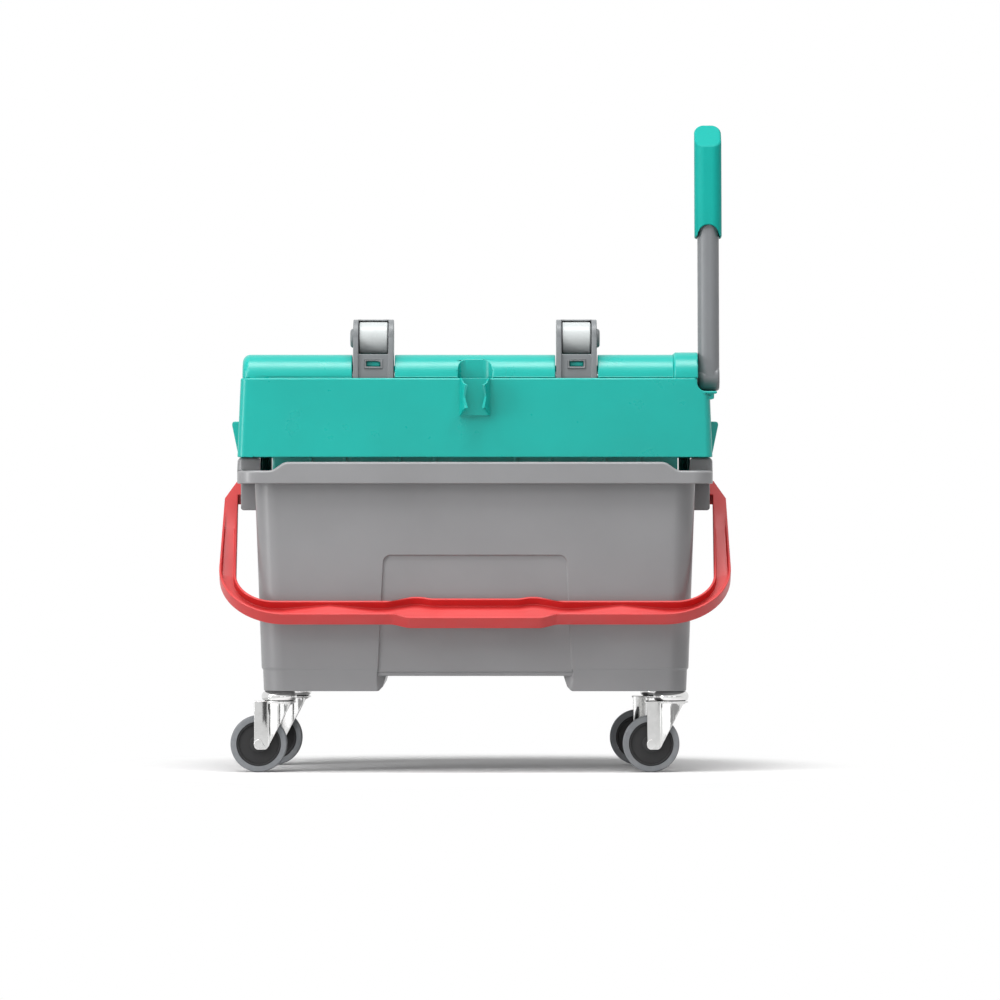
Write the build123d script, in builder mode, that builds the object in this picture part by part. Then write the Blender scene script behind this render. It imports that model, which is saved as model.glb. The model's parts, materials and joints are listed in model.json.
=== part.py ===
from build123d import *
import os
from math import atan2, cos, hypot, radians, sin, tan

# Mop bucket on four casters with a lift-off wringer for flat mops. Sizes are in millimetres.
# The origin is on the floor under the middle of the bucket. X runs along the bucket,
# Y runs from the front to the back and Z is up.

# Bucket sizes
RIM_LENGTH = 500.0
RIM_DEPTH = 270.0
RIM_CORNER = 22.0
RIM_BAND = 22.8
BUCKET_HEIGHT = 241.0
WALL = 3.0
END_OVERHANG = 17.3
SIDE_OVERHANG = 10.75
TUB_DRAFT = 2.0
TUB_CORNER = 24.0
CORNER_DROP = 9.0
CORNER_REACH = 37.5
CORNER_SLOPE = 12.5
END_RISE = 5.0
END_RIM_INSET = 23.0
RECESS_SPLAY = 3.0
NOTCH_SPLAY = 3.5
FOOT_HEIGHT = 24.0
FOOT_STEP = 1.5
NOTCH_HEIGHT = 16.0
NOTCH_WIDTH = 187.0
NOTCH_CHAMFER = 4.5
MOUTH_WIDTH = 206.6
MOUTH_DEPTH = 10.0
MOUTH_STEP = 1.5
MOUTH_RISE = 4.0
RECESS_WIDTH = 198.0
RECESS_HEIGHT = 143.0
RECESS_DEPTH = 2.0
RECESS_CORNER = 8.0
LUG_DROP = 51.0
LUG_WIDTH = 52.0
LUG_CHAMFER = 2.0
LUG_LAP = 8.0
SOCKET_WALL = 4.5
SOCKET_CAP = 5.0

# Caster sizes
WHEEL_DIAMETER = 60.0
TYRE_THICKNESS = 6.5
TYRE_WIDTH = 20.0
CASTER_HEAD = 26.0
CASTER_TRAIL = 21.2
CUP_RADIUS = 18.5
CUP_HEIGHT = 10.3
CUP_WALL = 1.6
CUP_SHOULDER = 4.5
CUP_BELLY = 5.2
CUP_TUCK = 1.4
CUP_LIP = 1.2
STEM_RADIUS = 5.5
STEM_DEPTH = 24.0
AXLE_RADIUS = 4.0
BALL_RADIUS = 2.6
BALL_RING = 11.5
BALL_COUNT = 10
BALL_PLAY = 0.15
FORK_PLATE = 2.0
FORK_GAP = 27.0
FORK_HEAD_DROP = 5.8
FORK_EAR = 27.5
FORK_NOSE = 12.3
FORK_FOOT = 6.0
FOOT_CORNER = 4.5
STRIP_BACK = 4.6
STRIP_FRONT = 8.8
STRIP_PROUD = 1.2
DOME_INSET = 3.5
DOME_CHAMFER = 1.8
STEM_HEAD = 3.5
STEM_HEAD_HEIGHT = 2.9
RIVET_RIM = 0.8
RIVET_HEIGHT = 0.9
HUB_BOSS = 5.0
HUB_DISH = 2.0
HUB_RIM = 2.5
HUB_INSET = 1.0
HUB_PLAY = 0.5
TYRE_EDGE = 3.0
TYRE_FIT = 0.1
FRONT_CASTER_INSET = 15.8
REAR_CASTER_INSET = 26.2
CASTER_INSET_Y = 28.0

# Bail sizes
BAIL_PIVOT_DROP = 34.0
BAIL_BAR_DROP = 124.0
BAIL_STANDOFF = 17.3
BAIL_WIDTH = 21.4
BAIL_THICKNESS = 15.0
BAIL_GRIP_HALF = 70.0
BAIL_PEAK_X = 153.0
BAIL_WALL = 2.6
BAIL_CHANNEL = 9.0
BAIL_EYE = 13.4
BAIL_ARM = 13.0
BAIL_GAP = 4.0
BAIL_PIN = 6.0
BAIL_PIN_REACH = 13.0
BAIL_EYE_LAP = 8.3
BAIL_RAMP_START = 36.0
BAIL_RAMP_END = 126.0
BAIL_LAP = 4.0
BAIL_INNER_CORNER = 42.0
BAIL_OUTER_CORNER = 72.0
BAIL_TOE_IN = 3.0
BAIL_SPREAD = 4.3
BAIL_BELLY = 3.5
BAIL_OUTER_BELLY = 5.5
BAIL_STOP = 6.0
BAIL_STOP_X = 61.0
BAIL_STOP_WIDTH = 10.0
BAIL_STOP_RUN = 10.0
BAIL_STOP_LEAD = 33.0
BAIL_RAMP = 27.0
BAIL_CURVE = 20.0
BAIL_PEAK = 5.0
BAIL_PEAK_RUN = 48.0
BAIL_TIP_DROP = 5.0

# Wringer sizes
SHELL_HEIGHT = 83.0
SHELL_WALL = 2.8
SHELL_CORNER = 8.0
SHELL_FLARE = 3.5
SHELL_END_SETBACK = 4.0
PANEL_SETBACK = 6.5
SHELL_DEPTH = 140.4
SEAT_LEDGE = 12.0
CHEEK_INSET = 32.5
CHEEK_WALL = 3.0
RIDGE_RADIUS = 25.0
RIDGE_WALL = 2.5
COLLAR_LENGTH = 26.0
COLLAR_STEP = 2.5
COLLAR_SLOPE = 2.2
GROOVE_WIDTH = 36.0
GROOVE_CORNER = 10.0
GROOVE_BITE = 9.6
MOUTH_BACK = 21.0
DECK_EDGE = 2.0
CHEEK_LIFT = 8.0
SEAT_OUTER = 1.5
SEAT_THICKNESS = 3.0
LOCATOR_WIDTH = 18.0
LOCATOR_DEPTH = 18.0
LOCATOR_INSET = 6.0
LOCATOR_FRONT = 45.0
LOCATOR_BACK = 30.0
STOP_HEIGHT = 15.0
STOP_WIDTH = 10.0
STOP_THICKNESS = 5.0
STOP_GAP = 0.2
POCKET_GAP = 0.7
POCKET_SIDE_GAP = 1.5
POCKET_WALL = 2.5
POCKET_CORNER = 9.0
SHELF_REACH = 8.0
SHELF_RIB = 8.0
SHELF_RIB_REACH = 5.0
TAB_LENGTH = 40.0
TAB_REACH = 11.0
TAB_FOOT = 4.6
TAB_HEIGHT = 35.0
TAB_LIP = 4.0
COVER_WALL = 3.0
COVER_END = 1.6
COVER_GAP = 0.5
COVER_CORNER = 8.0
COLLAR_EDGE = 1.2
SKIRT_DROP = 12.0
APRON_Y = -62.0
APRON_WALL = 2.6
APRON_DROP = 20.0
APRON_RISE = 14.0
APRON_GAP = 2.0
APRON_RIB = 1.6
APRON_RIB_PROUD = 2.0
APRON_RIBS = 3

# Press sizes
BASKET_DROP = 124.0
BASKET_WALL = 3.0
BASKET_GAP = 0.5
BASKET_TOP = 35.0
BASKET_BACK = 12.0
BASKET_TOE = 17.0
STRIP_GAP = 7.0
STRIP_WALL = 2.5
STRIP_LOW = 32.0
STRIP_HIGH = 14.0
STRIP_SLOPE = 18.0
RIB_WIDTH = 3.0
RIB_PROUD = 2.0
RIBS_X = (42.5, 79.0, 136.5, 172.5)
PLATE_LEAN = 10.0
PLATE_STROKE = 8.0
PLATE_THICKNESS = 5.0
PLATE_TRACK = 3.0
PLATE_OFFSET = 6.0
PLATE_LENGTH = 190.0
PLATE_SIDE_GAP = 5.0
PLATE_PIN_DEPTH = 18.0
CAM_REST = 15.3
HINGE_RISE = 14.0
HINGE_BARREL = 7.0
HINGE_PIN = 4.0
HINGE_BOSS = 4.0
HINGE_BOSS_HEIGHT = 3.0
HINGE_PIN_HEAD = 2.5
HINGE_PIN_HEAD_HEIGHT = 2.0
GRID_THICKNESS = 4.0
GRID_SETBACK = 2.0
GRID_DROP = 7.0
GRID_FIT = 0.2
RAIL_WIDTH = 4.0
RAIL_WALL = 2.8
SLOT_WIDTH = 6.0
SLOT_PITCH = 15.0
SLOT_MARGIN = 12.0
SLOT_ROWS = 3
SLOT_BRIDGE = 14.0
FLOOR_BRIDGE = 3.0
SHAFT_RADIUS = 7.0
BUSH_WALL = 3.0
BUSH_FLANGE = 2.5
BUSH_FLANGE_HEIGHT = 2.2
BUSH_STICK_OUT = 4.0
CAM_HUB_WALL = 6.0
CAM_HUB_LENGTH = 12.0
CAM_PIN = 2.0
CAM_WIDTH = 12.0
CAM_X = 150.0
CAM_GAP = 0.3
CAM_SIDE_GAP = 1.5
CAM_WINDOW = 9.0
FLANK_POINTS = 13
SHAFT_SQUARE = 9.6
SHAFT_TAIL = 15.0
RING_WIDTH = 1.4
RING_OFFSET = 2.0
RING_PLAY = 0.2
RING_FIT = 0.1
RING_GROOVE = 1.0
RING_REACH = 2.8
RING_GAP = 9.0
SCREW_RADIUS = 2.0
SCREW_HEAD_RIM = 2.5
SCREW_HEAD_HEIGHT = 2.6
SCREW_RISE = 22.0
SCREW_SETBACK = 7.0
SCREW_BOSS = 3.0
SCREW_BOSS_LENGTH = 6.0

# Lever sizes
LEVER_LEAN = 6.0
LEVER_SWING = 95.0
LEVER_WIDTH = 22.6
LEVER_DEPTH = 26.0
LEVER_WALL = 2.0
LEVER_CORNER = 10.0
LEVER_LENGTH = 232.0
GRIP_WIDTH = 28.5
GRIP_DEPTH = 32.0
GRIP_CORNER = 10.5
GRIP_LOW = 150.0
GRIP_FRONT_TOP = 245.0
GRIP_BACK_TOP = 276.0
GRIP_SCALLOP = 11.6
GRIP_EDGE = 3.0
LEVER_EDGE = 3.0
LEVER_PLUG = 4.0
LEVER_CAP = 7.0
LEVER_CORNER_GAP = 2.0
LEVER_SCREW = 3.0
LEVER_SCREW_HEAD = 6.6
SCREW_HEAD_GAP = 0.4
LEVER_SCREW_SINK = 3.4
LEVER_SCREW_LENGTH = 12.0

# Guide roller and stick clip sizes
BRACKET_X = 106.7
BRACKET_WIDTH = 42.6
BRACKET_CHEEK = 5.6
BRACKET_WEB = 3.4
BRACKET_GAP = 1.1
BRACKET_EAR = 19.6
BRACKET_SETBACK = 0.2
BRACKET_SINK = 2.4
HOOD_GAP = 1.0
HOOD_FRONT = 1.5
BRACKET_FOOT = 17.0
BRACKET_LEG = 10.8
BRACKET_ARCH = 12.0
BRACKET_TAIL = 15.0
BRACKET_SHOULDER = 25.0
WINDOW_RISE = 12.0
WINDOW_HEIGHT = 5.8
WINDOW_WIDTH = 15.0
FRAME_WIDTH = 2.0
FRAME_PROUD = 0.8
TONGUE_WIDTH = 30.0
TONGUE_WALL = 2.6
TONGUE_RISE = 19.0
TONGUE_DROP = 24.0
CATCH_PROUD = 0.8
CATCH_GAP = 0.6
SADDLE_RISE = 19.8
SADDLE_HEIGHT = 3.2
SADDLE_BACK = 4.0
ROLLER_EDGE = 1.5
ROLLER_RISE = 42.4
ROLLER_RADIUS = 17.0
ROLLER_LENGTH = 29.8
ROLLER_PIN = 4.0
PIN_HEAD_RADIUS = 10.0
PIN_HEAD_HEIGHT = 3.3
STICK_RADIUS = 11.75
CLIP_WALL = 1.8
CLIP_HEIGHT = 39.5
CLIP_BASE = 2.5
CLIP_PEG = 3.0
CLIP_PEG_END = 1.5
CLIP_WIDTH = 32.4
CLIP_TIP_RISE = 7.5
CLIP_TIP_DEPTH = 9.4
CLIP_WAIST_DEPTH = 6.23
CLIP_CORNER_DEPTH = 9.0
PEG_DROPS = (11.0, 29.0)

# Fits: a turning fit on the radius, a fixed fit on the radius, and a gap between parts
TURN_FIT = 0.06
FIXED_FIT = 0.05
PART_GAP = 0.3

# How far a cutting shape runs past what it cuts: a little, and well past it
PAST = 1.0
FAR = 40.0

# Heights above the floor
WHEEL_RADIUS = WHEEL_DIAMETER / 2
BASE_Z = WHEEL_DIAMETER + CASTER_HEAD
RIM_TOP = BASE_Z + BUCKET_HEIGHT
RIM_LOW = RIM_TOP - RIM_BAND
CORNER_TOP = RIM_TOP - CORNER_DROP
SEAT_Z = RIM_TOP + END_RISE
STEP_Z = BASE_Z + FOOT_HEIGHT
DECK_TOP = SEAT_Z + SHELL_HEIGHT
SHAFT_Z = DECK_TOP
BASKET_Z = SEAT_Z - BASKET_DROP
BAIL_Z = RIM_TOP - BAIL_PIVOT_DROP

# Plan positions
TUB_LENGTH = RIM_LENGTH - 2 * END_OVERHANG
TUB_DEPTH = RIM_DEPTH - 2 * SIDE_OVERHANG
END_RIM_HALF = RIM_DEPTH / 2 - END_RIM_INSET
DRAFT_RATE = tan(radians(TUB_DRAFT))
PANEL_Y = -RIM_DEPTH / 2 + PANEL_SETBACK
SHELL_LENGTH = RIM_LENGTH - 2 * SHELL_END_SETBACK
SHELL_BACK_Y = PANEL_Y + SHELL_DEPTH
SHELL_MIDDLE_Y = PANEL_Y + SHELL_DEPTH / 2
PANEL_INSIDE_Y = PANEL_Y + SHELL_WALL
SHAFT_Y = PANEL_INSIDE_Y + PART_GAP + RIDGE_RADIUS
CHEEK_X = SHELL_LENGTH / 2 - CHEEK_INSET
MOUTH_BACK_Y = SHELL_BACK_Y - MOUTH_BACK
LEVER_X = SHELL_LENGTH / 2
POCKET_X = LEVER_X - LEVER_WIDTH / 2 - POCKET_SIDE_GAP
STICK_Y = PANEL_Y - CLIP_BASE - STICK_RADIUS
BUSH_RADIUS = SHAFT_RADIUS + BUSH_WALL
CAM_HUB = SHAFT_RADIUS + CAM_HUB_WALL

os.makedirs("parts", exist_ok=True)


def finish(piece, name):
    """Label a finished piece and write it to its own file."""
    piece.part.label = name
    export_step(piece.part, f"parts/{name}.step")


def block(x_span, y_span, z_span, mode=Mode.ADD):
    """Box between two values on each axis of the builder's own plane."""
    spans = (x_span, y_span, z_span)
    sizes = [abs(span[1] - span[0]) for span in spans]
    middle = [(span[0] + span[1]) / 2 for span in spans]
    with Locations(tuple(middle)):
        Box(*sizes, mode=mode)


def rod(axis, place, radius, span, mode=Mode.ADD):
    """Round rod along X, Y or Z, centred on place in the other two axes, between two values."""
    middle = (span[0] + span[1]) / 2
    centre = {"x": (middle, *place), "y": (place[0], middle, place[1]), "z": (*place, middle)}
    turn = {"x": (0, 90, 0), "y": (90, 0, 0), "z": (0, 0, 0)}
    with Locations(Location(centre[axis], turn[axis])):
        Cylinder(radius, abs(span[1] - span[0]), mode=mode)


def face_x(points, x):
    """Flat outline of (Y, Z) points at this X."""
    with BuildSketch(Plane.YZ.offset(x)) as outline:
        with BuildLine():
            Polyline(*points, close=True)
        make_face()
    return outline.sketch


def face_y(points, y):
    """Flat outline of (X, Z) points at this Y."""
    with BuildSketch(Plane.XZ.offset(-y)) as outline:
        with BuildLine():
            Polyline(*points, close=True)
        make_face()
    return outline.sketch


def prism_x(points, span, mode=Mode.ADD):
    """Outline of (Y, Z) points drawn out along X between two values."""
    extrude(face_x(points, span[0]), amount=span[1] - span[0], dir=(1, 0, 0), mode=mode)


def prism_y(points, span, mode=Mode.ADD):
    """Outline of (X, Z) points drawn out along Y between two values."""
    extrude(face_y(points, span[0]), amount=span[1] - span[0], dir=(0, 1, 0), mode=mode)


# Bucket


def tub_outline(z, inset=0.0):
    """Outline of the tub at height z, drawn in by inset on every side."""
    shrink = (RIM_TOP - z) * DRAFT_RATE + inset
    with BuildSketch(Plane.XY.offset(z)) as outline:
        RectangleRounded(TUB_LENGTH - 2 * shrink, TUB_DEPTH - 2 * shrink, TUB_CORNER - inset)
    return outline.sketch


def rim_outline(inset=0.0):
    """Outline of the rim at its lower edge, drawn in by inset on every side."""
    with BuildSketch(Plane.XY.offset(RIM_LOW)) as outline:
        RectangleRounded(RIM_LENGTH - 2 * inset, RIM_DEPTH - 2 * inset, RIM_CORNER - inset)
    return outline.sketch


def above_rim(drop):
    """Everything above the front rim's top line, lowered by drop: high middle, low corners."""
    low = CORNER_TOP - drop
    high = RIM_TOP - drop
    low_x = RIM_LENGTH / 2 - CORNER_REACH
    high_x = low_x - CORNER_SLOPE
    far = RIM_LENGTH
    top = SEAT_Z + FAR
    return [
        (-far, low),
        (-low_x, low),
        (-high_x, high),
        (high_x, high),
        (low_x, low),
        (far, low),
        (far, top),
        (-far, top),
    ]


FOOT_LENGTH = TUB_LENGTH - 2 * ((RIM_TOP - BASE_Z) * DRAFT_RATE + FOOT_STEP)
FOOT_DEPTH = TUB_DEPTH - 2 * ((RIM_TOP - BASE_Z) * DRAFT_RATE + FOOT_STEP)
NOTCH_HALF = NOTCH_WIDTH / 2
NOTCH_TOP = BASE_Z + NOTCH_HEIGHT
MOUTH_HALF = MOUTH_WIDTH / 2
MOUTH_TOP = NOTCH_TOP + MOUTH_RISE
RECESS_HALF = RECESS_WIDTH / 2
CASTER_Y = FOOT_DEPTH / 2 - CASTER_INSET_Y
FRONT_CASTER_X = FOOT_LENGTH / 2 - FRONT_CASTER_INSET
REAR_CASTER_X = FOOT_LENGTH / 2 - REAR_CASTER_INSET
CASTERS = {
    "front_left": (-FRONT_CASTER_X, -CASTER_Y),
    "front_right": (FRONT_CASTER_X, -CASTER_Y),
    "rear_left": (-REAR_CASTER_X, CASTER_Y),
    "rear_right": (REAR_CASTER_X, CASTER_Y),
}
BEYOND_Y = RIM_DEPTH

with BuildPart() as recess_tool:
    with BuildSketch(Plane.XZ.offset(BEYOND_Y)) as recess_face:
        with BuildLine():
            Polyline(
                (-RECESS_HALF - RECESS_SPLAY, MOUTH_TOP),
                (RECESS_HALF + RECESS_SPLAY, MOUTH_TOP),
                (RECESS_HALF - RECESS_SPLAY, BASE_Z + RECESS_HEIGHT),
                (-RECESS_HALF + RECESS_SPLAY, BASE_Z + RECESS_HEIGHT),
                close=True,
            )
        make_face()
        fillet(recess_face.vertices().group_by(Axis.Y)[-1], RECESS_CORNER)
    extrude(amount=2 * BEYOND_Y, dir=(0, 1, 0))
    loft([tub_outline(BASE_Z, RECESS_DEPTH), tub_outline(RIM_TOP, RECESS_DEPTH)], mode=Mode.SUBTRACT)

with BuildPart() as cavity_tool:
    loft([tub_outline(STEP_Z, WALL), tub_outline(SEAT_Z + PAST, WALL)])
    pad_half = MOUTH_HALF + WALL
    pad_top = BASE_Z + RECESS_HEIGHT + WALL
    for side in (-1, 1):
        with BuildSketch(Plane.XY.offset(STEP_Z)):
            with Locations((0, side * TUB_DEPTH / 2)):
                shift = (RIM_TOP - STEP_Z) * DRAFT_RATE + WALL + RECESS_DEPTH
                Rectangle(2 * pad_half, 2 * shift)
        with BuildSketch(Plane.XY.offset(pad_top)):
            with Locations((0, side * TUB_DEPTH / 2)):
                shift = (RIM_TOP - pad_top) * DRAFT_RATE + WALL + RECESS_DEPTH
                Rectangle(2 * pad_half, 2 * shift)
        loft(mode=Mode.SUBTRACT)

with BuildPart() as well_tool:
    well_inset = FOOT_STEP + WALL
    loft([tub_outline(BASE_Z + WALL, well_inset), tub_outline(STEP_Z + PAST / 2, well_inset)])
    block(
        (-MOUTH_HALF - WALL, MOUTH_HALF + WALL),
        (-BEYOND_Y, BEYOND_Y),
        (BASE_Z, MOUTH_TOP),
        mode=Mode.SUBTRACT,
    )

with BuildPart() as rim_hollow_tool:
    extrude(rim_outline(WALL), amount=SEAT_Z - WALL - RIM_LOW, dir=(0, 0, 1))
    loft([tub_outline(RIM_LOW - FAR), tub_outline(SEAT_Z + FAR)], mode=Mode.SUBTRACT)
    for side in (-1, 1):
        prism_y(
            above_rim(WALL),
            (side * (END_RIM_HALF - WALL), side * BEYOND_Y),
            mode=Mode.SUBTRACT,
        )

with BuildPart() as bucket_body:
    loft([tub_outline(STEP_Z), tub_outline(RIM_TOP)])
    loft([tub_outline(BASE_Z, FOOT_STEP), tub_outline(STEP_Z, FOOT_STEP)])
    add(recess_tool.part, mode=Mode.SUBTRACT)
    notch_foot = NOTCH_HALF + NOTCH_SPLAY
    prism_y(
        [
            (-notch_foot - NOTCH_CHAMFER, BASE_Z),
            (-notch_foot - NOTCH_CHAMFER, BASE_Z - PAST),
            (notch_foot + NOTCH_CHAMFER, BASE_Z - PAST),
            (notch_foot + NOTCH_CHAMFER, BASE_Z),
            (notch_foot, BASE_Z + NOTCH_CHAMFER),
            (NOTCH_HALF, NOTCH_TOP),
            (-NOTCH_HALF, NOTCH_TOP),
            (-notch_foot, BASE_Z + NOTCH_CHAMFER),
        ],
        (-BEYOND_Y, BEYOND_Y),
        mode=Mode.SUBTRACT,
    )
    for side in (-1, 1):
        face_middle = side * FOOT_DEPTH / 2
        step_y = face_middle - side * MOUTH_STEP
        mouth_x = (-MOUTH_HALF, MOUTH_HALF)
        block(mouth_x, (step_y, side * BEYOND_Y), (NOTCH_TOP, MOUTH_TOP), mode=Mode.SUBTRACT)
        with BuildSketch(Plane.XY.offset(BASE_Z - PAST)) as mouth:
            with BuildLine():
                Polyline(
                    (-MOUTH_HALF, side * BEYOND_Y),
                    (-MOUTH_HALF, face_middle),
                    (-NOTCH_HALF, face_middle - side * MOUTH_DEPTH),
                    (NOTCH_HALF, face_middle - side * MOUTH_DEPTH),
                    (MOUTH_HALF, face_middle),
                    (MOUTH_HALF, side * BEYOND_Y),
                    close=True,
                )
            make_face()
        extrude(mouth.sketch, amount=NOTCH_TOP - BASE_Z + PAST, dir=(0, 0, 1), mode=Mode.SUBTRACT)
    extrude(rim_outline(), amount=SEAT_Z - RIM_LOW, dir=(0, 0, 1))
    for side in (-1, 1):
        prism_y(above_rim(0), (side * END_RIM_HALF, side * BEYOND_Y), mode=Mode.SUBTRACT)
    add(rim_hollow_tool.part, mode=Mode.SUBTRACT)
    lug_low = RIM_TOP - LUG_DROP
    lug_inner = TUB_LENGTH / 2 - LUG_DROP * DRAFT_RATE - WALL / 2
    for side in (-1, 1):
        lug_outer = side * RIM_LENGTH / 2
        prism_y(
            [
                (side * lug_inner, lug_low),
                (lug_outer - side * LUG_CHAMFER, lug_low),
                (lug_outer, lug_low + LUG_CHAMFER),
                (lug_outer, RIM_LOW + LUG_LAP),
                (side * lug_inner, RIM_LOW + LUG_LAP),
            ],
            (-LUG_WIDTH / 2, LUG_WIDTH / 2),
        )
    add(cavity_tool.part, mode=Mode.SUBTRACT)
    add(well_tool.part, mode=Mode.SUBTRACT)
    for place in CASTERS.values():
        rod("z", place, STEM_RADIUS + SOCKET_WALL, (BASE_Z, BASE_Z + STEM_DEPTH + SOCKET_CAP))
    socket_z = (BASE_Z - PAST, BASE_Z + STEM_DEPTH + PAST)
    for place in CASTERS.values():
        rod("z", place, STEM_RADIUS + FIXED_FIT, socket_z, mode=Mode.SUBTRACT)
    for side in (-1, 1):
        rod(
            "x",
            (0, BAIL_Z),
            BAIL_PIN + TURN_FIT,
            (side * (RIM_LENGTH / 2 - BAIL_PIN_REACH - 2 * PAST), side * (RIM_LENGTH / 2 + PAST)),
            mode=Mode.SUBTRACT,
        )
finish(bucket_body, "bucket_body")


# Casters

CUP_LOW = BASE_Z - CUP_HEIGHT
RACE_Z = BASE_Z - CUP_WALL
RACE_TOP = RACE_Z - 2 * (BALL_RADIUS + BALL_PLAY)
HEAD_LOW = RACE_TOP - FORK_HEAD_DROP
HEAD_TOP = HEAD_LOW + FORK_PLATE
DOME_RADIUS = CUP_RADIUS - DOME_INSET
DOME_INNER = DOME_RADIUS - FORK_PLATE
FLANGE_RADIUS = CUP_RADIUS - PART_GAP
LEG_Y = FORK_GAP / 2
HUB_RADIUS = WHEEL_RADIUS - TYRE_THICKNESS


def spin_plane(x, y):
    """Upright plane through the vertical at x, y, with radius and height as its axes."""
    return Plane(origin=(x, y, 0), x_dir=(1, 0, 0), z_dir=(0, -1, 0))


def turned(points, x, y):
    """Ring made by turning an outline of (radius, height) points about the vertical at x, y."""
    with BuildSketch(spin_plane(x, y)) as outline:
        with BuildLine():
            Polyline(*points, close=True)
        make_face()
    revolve(outline.sketch, axis=Axis((x, y, 0), (0, 0, 1)))


def tongue(back, bend, nose, y, half, span, mode=Mode.ADD):
    """Upright tongue that runs straight from back to bend and rounds off at its nose."""
    block((back, bend), (y - half, y + half), span, mode=mode)
    with BuildSketch(Plane.XY.offset(span[0])) as plan:
        with Locations((bend, y)):
            Ellipse(nose - bend, half)
    extrude(plan.sketch, amount=span[1] - span[0], dir=(0, 0, 1), mode=mode)


def make_caster(corner, x, y):
    """All the pieces of one caster, with its swivel axis at x, y and its wheel trailing to -X."""
    wheel_x = x - CASTER_TRAIL
    hole = STEM_RADIUS + TURN_FIT

    with BuildPart() as stem:
        head_top = RACE_TOP - FORK_PLATE - PART_GAP
        rod("z", (x, y), STEM_RADIUS, (head_top - STEM_HEAD_HEIGHT, BASE_Z + STEM_DEPTH))
        rod("z", (x, y), STEM_RADIUS + STEM_HEAD, (head_top - STEM_HEAD_HEIGHT, head_top))
    finish(stem, f"{corner}_stem")

    with BuildPart() as cup:
        lip = CUP_RADIUS - CUP_TUCK
        with BuildSketch(spin_plane(x, y)) as outline:
            with BuildLine():
                shoulder = (CUP_RADIUS - CUP_SHOULDER, BASE_Z)
                ThreePointArc(shoulder, (CUP_RADIUS, BASE_Z - CUP_BELLY), (lip, CUP_LOW))
                Polyline(
                    (lip, CUP_LOW),
                    (lip - CUP_LIP, CUP_LOW),
                    (lip - CUP_LIP, RACE_Z - CUP_SHOULDER + PAST),
                    (CUP_RADIUS - CUP_SHOULDER, RACE_Z),
                    (hole, RACE_Z),
                    (hole, BASE_Z),
                    shoulder,
                )
            make_face()
        revolve(outline.sketch, axis=Axis((x, y, 0), (0, 0, 1)))
    finish(cup, f"{corner}_cup")

    with BuildPart() as balls:
        with Locations((x, y, RACE_Z - BALL_RADIUS - BALL_PLAY)):
            with PolarLocations(BALL_RING, BALL_COUNT):
                Sphere(BALL_RADIUS)
    finish(balls, f"{corner}_balls")

    with BuildPart() as fork:
        strip = (wheel_x - STRIP_BACK, wheel_x + STRIP_FRONT)
        outer = LEG_Y + FORK_PLATE
        foot_z = WHEEL_RADIUS - FORK_FOOT
        legs_z = (foot_z, HEAD_TOP)
        inside_z = (foot_z - PAST, HEAD_LOW)
        tongue(strip[0], strip[1], x + outer, y, outer, legs_z)
        tongue(strip[0] - PAST, strip[1], x + LEG_Y, y, LEG_Y, inside_z, mode=Mode.SUBTRACT)
        for side in (-1, 1):
            strip_y = (y + side * (outer - PAST), y + side * (outer + STRIP_PROUD))
            block(strip, strip_y, legs_z)
        with BuildSketch(Plane.XZ.offset(outer + PAST - y)) as side_face:
            with BuildLine():
                Polyline(
                    (strip[0], HEAD_TOP),
                    (strip[0], foot_z),
                    (strip[1], foot_z),
                    (x + FORK_NOSE, HEAD_LOW - FORK_PLATE),
                    (x + CUP_RADIUS, HEAD_LOW),
                    (x + CUP_RADIUS, HEAD_TOP),
                    close=True,
                )
            make_face()
            fillet(side_face.vertices().group_by(Axis.Y)[0], FOOT_CORNER)
        extrude(side_face.sketch, amount=2 * (outer + PAST) + FAR, dir=(0, 1, 0), mode=Mode.INTERSECT)
        block((x - FORK_EAR, x), (y - outer, y + outer), (HEAD_LOW, HEAD_TOP))
        rod("z", (x, y), DOME_INNER, (HEAD_LOW - PAST, HEAD_TOP + PAST), mode=Mode.SUBTRACT)
        turned(
            [
                (hole, RACE_TOP),
                (DOME_RADIUS - DOME_CHAMFER, RACE_TOP),
                (DOME_RADIUS, RACE_TOP - DOME_CHAMFER),
                (DOME_RADIUS, HEAD_TOP),
                (FLANGE_RADIUS, HEAD_TOP),
                (FLANGE_RADIUS, HEAD_LOW),
                (DOME_INNER, HEAD_LOW),
                (DOME_INNER, RACE_TOP - FORK_PLATE),
                (hole, RACE_TOP - FORK_PLATE),
            ],
            x,
            y,
        )
        rod("y", (wheel_x, WHEEL_RADIUS), AXLE_RADIUS + FIXED_FIT, (y - FAR, y + FAR), mode=Mode.SUBTRACT)
    finish(fork, f"{corner}_fork")

    with BuildPart() as axle:
        half = LEG_Y + FORK_PLATE + STRIP_PROUD
        rod("y", (wheel_x, WHEEL_RADIUS), AXLE_RADIUS, (y - half, y + half))
        for side in (-1, 1):
            head_y = (y + side * half, y + side * (half + RIVET_HEIGHT))
            rod("y", (wheel_x, WHEEL_RADIUS), AXLE_RADIUS + RIVET_RIM, head_y)
    finish(axle, f"{corner}_axle")

    with BuildPart() as hub:
        half = TYRE_WIDTH / 2 - HUB_INSET
        rod("y", (wheel_x, WHEEL_RADIUS), HUB_RADIUS, (y - half, y + half))
        for side in (-1, 1):
            dish = (y + side * half, y + side * (half - HUB_DISH))
            rod("y", (wheel_x, WHEEL_RADIUS), HUB_RADIUS - HUB_RIM, dish, mode=Mode.SUBTRACT)
        boss = LEG_Y - HUB_PLAY
        rod("y", (wheel_x, WHEEL_RADIUS), AXLE_RADIUS + HUB_BOSS, (y - boss, y + boss))
        rod("y", (wheel_x, WHEEL_RADIUS), AXLE_RADIUS + TURN_FIT, (y - FAR, y + FAR), mode=Mode.SUBTRACT)
    finish(hub, f"{corner}_hub")

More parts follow.
